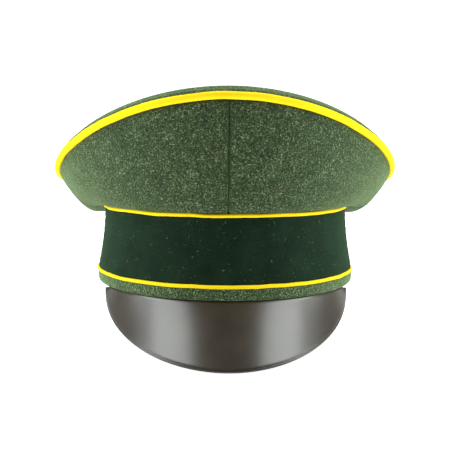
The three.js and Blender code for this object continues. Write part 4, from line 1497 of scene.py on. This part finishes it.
def diamond_line(half_width, half_length, count=160, corner=0.12):
    """A diamond's outline with rounded corners, as x and y."""
    ends = np.array([(0, -half_length), (half_width, 0), (0, half_length), (-half_width, 0)])
    points = []
    for k in range(4):
        end, before, after = ends[k], ends[k - 1], ends[(k + 1) % 4]
        start, stop = end + (before - end) * corner, end + (after - end) * corner
        s = np.linspace(0, 1, 9)[:, None]
        points.append(start * (1 - s) ** 2 + 2 * end * s * (1 - s) + stop * s**2)
        following = after + (end - after) * corner
        points.append(stop + (following - stop) * np.linspace(0, 1, count // 4)[1:-1, None])
    return np.concatenate(points)


def make_plate(name, outline, middle, below, thick, finish):
    """A thin plate under the ceiling, from its outline."""
    share = np.concatenate([np.linspace(0, 0.97, 8), [1.0]])[None, :, None]
    flat = outline[:, None, :] * share
    edge = np.array([0] * 8 + [0.3])[None, :] * thick
    lower = on_ceiling(flat[..., 0], flat[..., 1] + middle, below + thick - edge)
    upper = on_ceiling(flat[..., 0], flat[..., 1] + middle, below + edge)
    return disc(name, shell(upper, lower), finish)


def make_shield(context, sizes):
    """The diamond of clear film, the cord round it and the sewing of the cord."""
    film = material("Clear film", film_recipe)
    line = diamond_line(SHIELD_WIDTH, SHIELD_LENGTH)
    piece = make_plate("film_shield", line, 0, SHIELD_BELOW, FILM_THICK, film)
    settle(piece, "celluloid", "sweat_shield")
    rim = diamond_line(SHIELD_WIDTH + SHIELD_RIM, SHIELD_LENGTH + SHIELD_RIM)
    path = on_ceiling(rim[:, 0], rim[:, 1], SHIELD_BELOW + 0.35 * MM)
    piece = cord("cord_shield_edge", path, True, 0.7 * MM, cotton_tape(context), sides=10, step=1.5 * MM)
    settle(piece, "cotton_tape", "sweat_shield_cord")
    path = on_ceiling(rim[:, 0], rim[:, 1], SHIELD_BELOW + 1.0 * MM)
    sewing = stitches("thread_shield", path, True, pale_thread(context), sizes, 0.9, 0.0, 5, 0.6)
    settle(sewing, "cotton_tape")


def make_label(context, sizes):
    """A plain cotton tab with a stitched border and nothing written on it."""
    half_width, half_height, corner = 17 * MM, 9 * MM, 2 * MM
    outline = rounded_rectangle(half_width, half_height, corner)
    cotton = material("Label cotton", woven_recipe, (0.62, 0.55, 0.40, 1), 0.6 * MM)
    place = LABEL_AT / math.cos(CEILING_TILT)
    piece = make_plate("cotton_label", outline, place, LABEL_BELOW, LABEL_THICK, cotton)
    settle(piece, "label_cotton", "size_label")
    border = rounded_rectangle(half_width - 1.6 * MM, half_height - 1.6 * MM, corner)
    path = on_ceiling(border[:, 0], border[:, 1] + place, 1.2 * MM)
    sewing = stitches("thread_label", path, True, green_thread(context), sizes, 0.0, 0.0, 9, 0.7)
    settle(sewing, "label_cotton")


def rounded_rectangle(half_width, half_height, corner):
    turn = np.linspace(0, math.pi / 2, 9)
    quarters = []
    for k, (sx, sy) in enumerate(((1, 1), (-1, 1), (-1, -1), (1, -1))):
        bend = turn + k * math.pi / 2
        x = sx * (half_width - corner) + corner * np.cos(bend)
        y = sy * (half_height - corner) + corner * np.sin(bend)
        quarters.append(np.stack([x, y], -1))
    return np.concatenate(quarters)


# ---- Hidden stiffening ----


def make_stiffening(context):
    """Canvas and tapes behind the crown, and the finishes of the CAD parts that stay."""
    canvas = material("Horsehair canvas", woven_recipe, (0.45, 0.36, 0.24, 1), 1.4 * MM, slub=0.25)
    share = np.linspace(0.06, 0.66, 26)[None, :]
    turn = ring(180)
    outer = crown_point(turn, share, CANVAS_DEPTH)
    loops = rounded_loop(outer, crown_point(turn, share, CANVAS_DEPTH + 0.8 * MM))
    piece = settle(swept("canvas_ring", loops, True, canvas), "horsehair_canvas", "crown_canvas")
    declare_sheet(np.concatenate([outer, outer[:1]]))
    quarter = math.pi / 2
    for name, middle in (("front", 0), ("left", quarter), ("rear", 2 * quarter), ("right", -quarter)):
        turn = middle + np.linspace(-1, 1, 13)[:, None] * math.radians(5)
        outer = crown_point(turn, share, TAPE_DEPTH)
        loops = rounded_loop(outer, crown_point(turn, share, TAPE_DEPTH + 0.5 * MM))
        piece = settle(swept(f"tape_{name}", loops, False, cotton_tape(context)), "cotton_tape",
                       f"crown_{name}_seam_tape")
        declare_sheet(outer)
    steel = material("Spring steel", grainy_recipe, (0.45, 0.46, 0.48, 1), 0.5 * MM, 0.2, 0.28,
                     0.03 * MM, 1.0)
    dress("crown_wire", steel)
    dress("crown_front_stay", steel)
    paper = material("Sleeve paper", grainy_recipe, (0.60, 0.50, 0.33, 1), 0.8 * MM, 0.15, 0.8, 0.1 * MM)
    dress("crown_wire_sleeve", paper)
    board = material("Fibre board", grainy_recipe, (0.32, 0.23, 0.13, 1), 1.1 * MM, 0.3, 0.75, 0.12 * MM)
    dress("band_stiffener", board)


# ---- Studio ----

FLOOR_HALF = 3000.0
WORLD_SEEN = 1.0  # strength of the world to the camera, and as light on the cap
WORLD_LIGHT = 0.18
AIM = (0.0, -0.02, 0.08)
SOFTBOX_TINT = (0.95, 1, 0.99)
LOW_SOFTBOX_TINT = (0.97, 1, 0.99)
CAMERA_LENS = 72.3
CAMERA_AWAY = 0.640
CAMERA_Z = 93.3 * MM
CAMERA_SIDE = math.radians(1.1)
CAMERA_TILT = math.radians(5.2)
CAMERA_ROLL = math.radians(0.45)


def softbox(name, place, size, power, tint):
    """An even rectangular light that faces the cap."""
    light = bpy.data.lights.new(name, "AREA")
    light.shape = "RECTANGLE"
    light.size, light.size_y = size
    light.energy = power
    light.color = tint
    lamp = placed(name, light)
    lamp.location = place
    lamp.rotation_euler = (Vector(AIM) - Vector(place)).to_track_quat("-Z", "Y").to_euler()


def floor_recipe(graph, ground):
    grain = graph.noise(graph.place(), 0.4, 2, 0.5)
    return {
        "Base Color": graph.mix(grain, scaled(ground, 0.99), ground),
        "Roughness": 0.9,
        "Specular IOR Level": 0.0,
        "Emission Color": (1, 1, 1, 1),
        "Emission Strength": 0.86,
    }


def make_stage(context):
    """The floor, the even world, the four softboxes and the camera."""
    scene = context.scene
    mesh = bpy.data.meshes.new("studio_floor")
    corners = [(x * FLOOR_HALF, y * FLOOR_HALF, 0) for x, y in ((-1, -1), (1, -1), (1, 1), (-1, 1))]
    mesh.from_pydata(corners, [], [(0, 1, 2, 3)])
    mesh.materials.append(material("Studio floor", floor_recipe, scene.cap_colours.floor))
    placed("studio_floor", mesh)
    world = bpy.data.worlds.new("studio")
    world.use_nodes = True
    world.node_tree.nodes.clear()
    graph = Graph(world.node_tree)
    seen = graph.add("ShaderNodeLightPath", output="Is Camera Ray")
    strength = seen * (WORLD_SEEN - WORLD_LIGHT) + WORLD_LIGHT
    sky = graph.add("ShaderNodeBackground", {}, {"Color": (1, 1, 1, 1), "Strength": strength})
    graph.add("ShaderNodeOutputWorld", {}, {"Surface": sky})
    scene.world = world
    scene.view_settings.view_transform = "Standard"
    for sign in (-1, 1):
        softbox("side softbox", (sign * 0.77, 0.12, 0.94), (0.70, 0.64), 13.5, SOFTBOX_TINT)
        softbox("low side softbox", (sign * 1.25, -0.05, 0.30), (0.5, 0.9), 9, LOW_SOFTBOX_TINT)
    make_camera(scene)


def make_camera(scene):
    """In front of the worn cap, a little above its hem and looking slightly down."""
    data = bpy.data.cameras.new("camera")
    data.sensor_width = 36.0
    data.lens = CAMERA_LENS
    camera = placed("camera", data)
    side, tilt = CAMERA_SIDE, CAMERA_TILT
    ahead = np.array([math.sin(side) * math.cos(tilt), math.cos(side) * math.cos(tilt), -math.sin(tilt)])
    place = np.array([-CAMERA_AWAY * math.sin(side), -CAMERA_AWAY * math.cos(side), CAMERA_Z])
    camera.location = to_row(place)
    aim = Vector(AXES @ ahead).to_track_quat("-Z", "Y") @ Quaternion((0, 0, 1), CAMERA_ROLL)
    camera.rotation_euler = aim.to_euler()
    scene.camera = camera


# ---- Add-on ----


class CAP_OT_stage(bpy.types.Operator):
    """Makes the floor, the lights and the camera"""

    bl_idname = "cap.stage"
    bl_label = "Studio"

    def execute(self, context):
        make_stage(context)
        return {"FINISHED"}


class CAP_OT_crown(bpy.types.Operator):
    """Makes the wool panels of the crown, with their turned seams and the roll over the wire"""

    bl_idname = "cap.crown"
    bl_label = "Crown panels"

    def execute(self, context):
        make_crown(context)
        return {"FINISHED"}


class CAP_OT_pipings(bpy.types.Operator):
    """Makes the yellow felt pipings of the rim and the band"""

    bl_idname = "cap.pipings"
    bl_label = "Pipings"

    def execute(self, context):
        make_pipings(context)
        return {"FINISHED"}


class CAP_OT_band(bpy.types.Operator):
    """Makes the felt band with its lint, and the wool hem under it"""

    bl_idname = "cap.band"
    bl_label = "Head band"

    def execute(self, context):
        make_band(context)
        return {"FINISHED"}


class CAP_OT_visor(bpy.types.Operator):
    """Makes the visor's shell, its rim and the cloth under it"""

    bl_idname = "cap.visor"
    bl_label = "Visor"

    def execute(self, context):
        make_visor(context)
        return {"FINISHED"}


class CAP_OT_sweatband(bpy.types.Operator):
    """Makes the leather sweatband with its air holes, reed, sewing, pad and bow"""

    bl_idname = "cap.sweatband"
    bl_label = "Sweatband"

    def execute(self, context):
        make_sweatband(context)
        return {"FINISHED"}


class CAP_OT_lining(bpy.types.Operator):
    """Makes the satin lining, the sweat shield and the blank label"""

    bl_idname = "cap.lining"
    bl_label = "Lining"

    def execute(self, context):
        make_lining(context)
        return {"FINISHED"}


class CAP_OT_stiffening(bpy.types.Operator):
    """Makes the canvas and tapes, and finishes the wire, sleeve, stay and board"""

    bl_idname = "cap.stiffening"
    bl_label = "Hidden stiffening"

    def execute(self, context):
        make_stiffening(context)
        return {"FINISHED"}


MAKERS = (CAP_OT_stage, CAP_OT_crown, CAP_OT_pipings, CAP_OT_band, CAP_OT_visor, CAP_OT_sweatband,
          CAP_OT_lining, CAP_OT_stiffening)


class CAP_PT_panel(bpy.types.Panel):
    """Lists the cap's sizes, colours and pieces"""

    bl_idname = "CAP_PT_panel"
    bl_label = "Military Peaked Cap"
    bl_space_type = "VIEW_3D"
    bl_region_type = "UI"
    bl_category = "Peaked Cap"

    def draw(self, context):
        for group in (context.scene.cap_sizes, context.scene.cap_colours):
            column = self.layout.column(align=True)
            for name in group.__annotations__:
                column.prop(group, name)
        for maker in MAKERS:
            self.layout.operator(maker.bl_idname)


CLASSES = (CapSizes, CapColours, *MAKERS, CAP_PT_panel)


def register():
    for cls in CLASSES:
        bpy.utils.register_class(cls)
    bpy.types.Scene.cap_sizes = PointerProperty(type=CapSizes)
    bpy.types.Scene.cap_colours = PointerProperty(type=CapColours)


def unregister():
    del bpy.types.Scene.cap_colours
    del bpy.types.Scene.cap_sizes
    for cls in reversed(CLASSES):
        bpy.utils.unregister_class(cls)


def main():
    register()
    bpy.ops.cap.stage()
    bpy.ops.cap.crown()
    bpy.ops.cap.pipings()
    bpy.ops.cap.band()
    bpy.ops.cap.visor()
    bpy.ops.cap.sweatband()
    bpy.ops.cap.lining()
    bpy.ops.cap.stiffening()


if __name__ == "__main__":
    main()
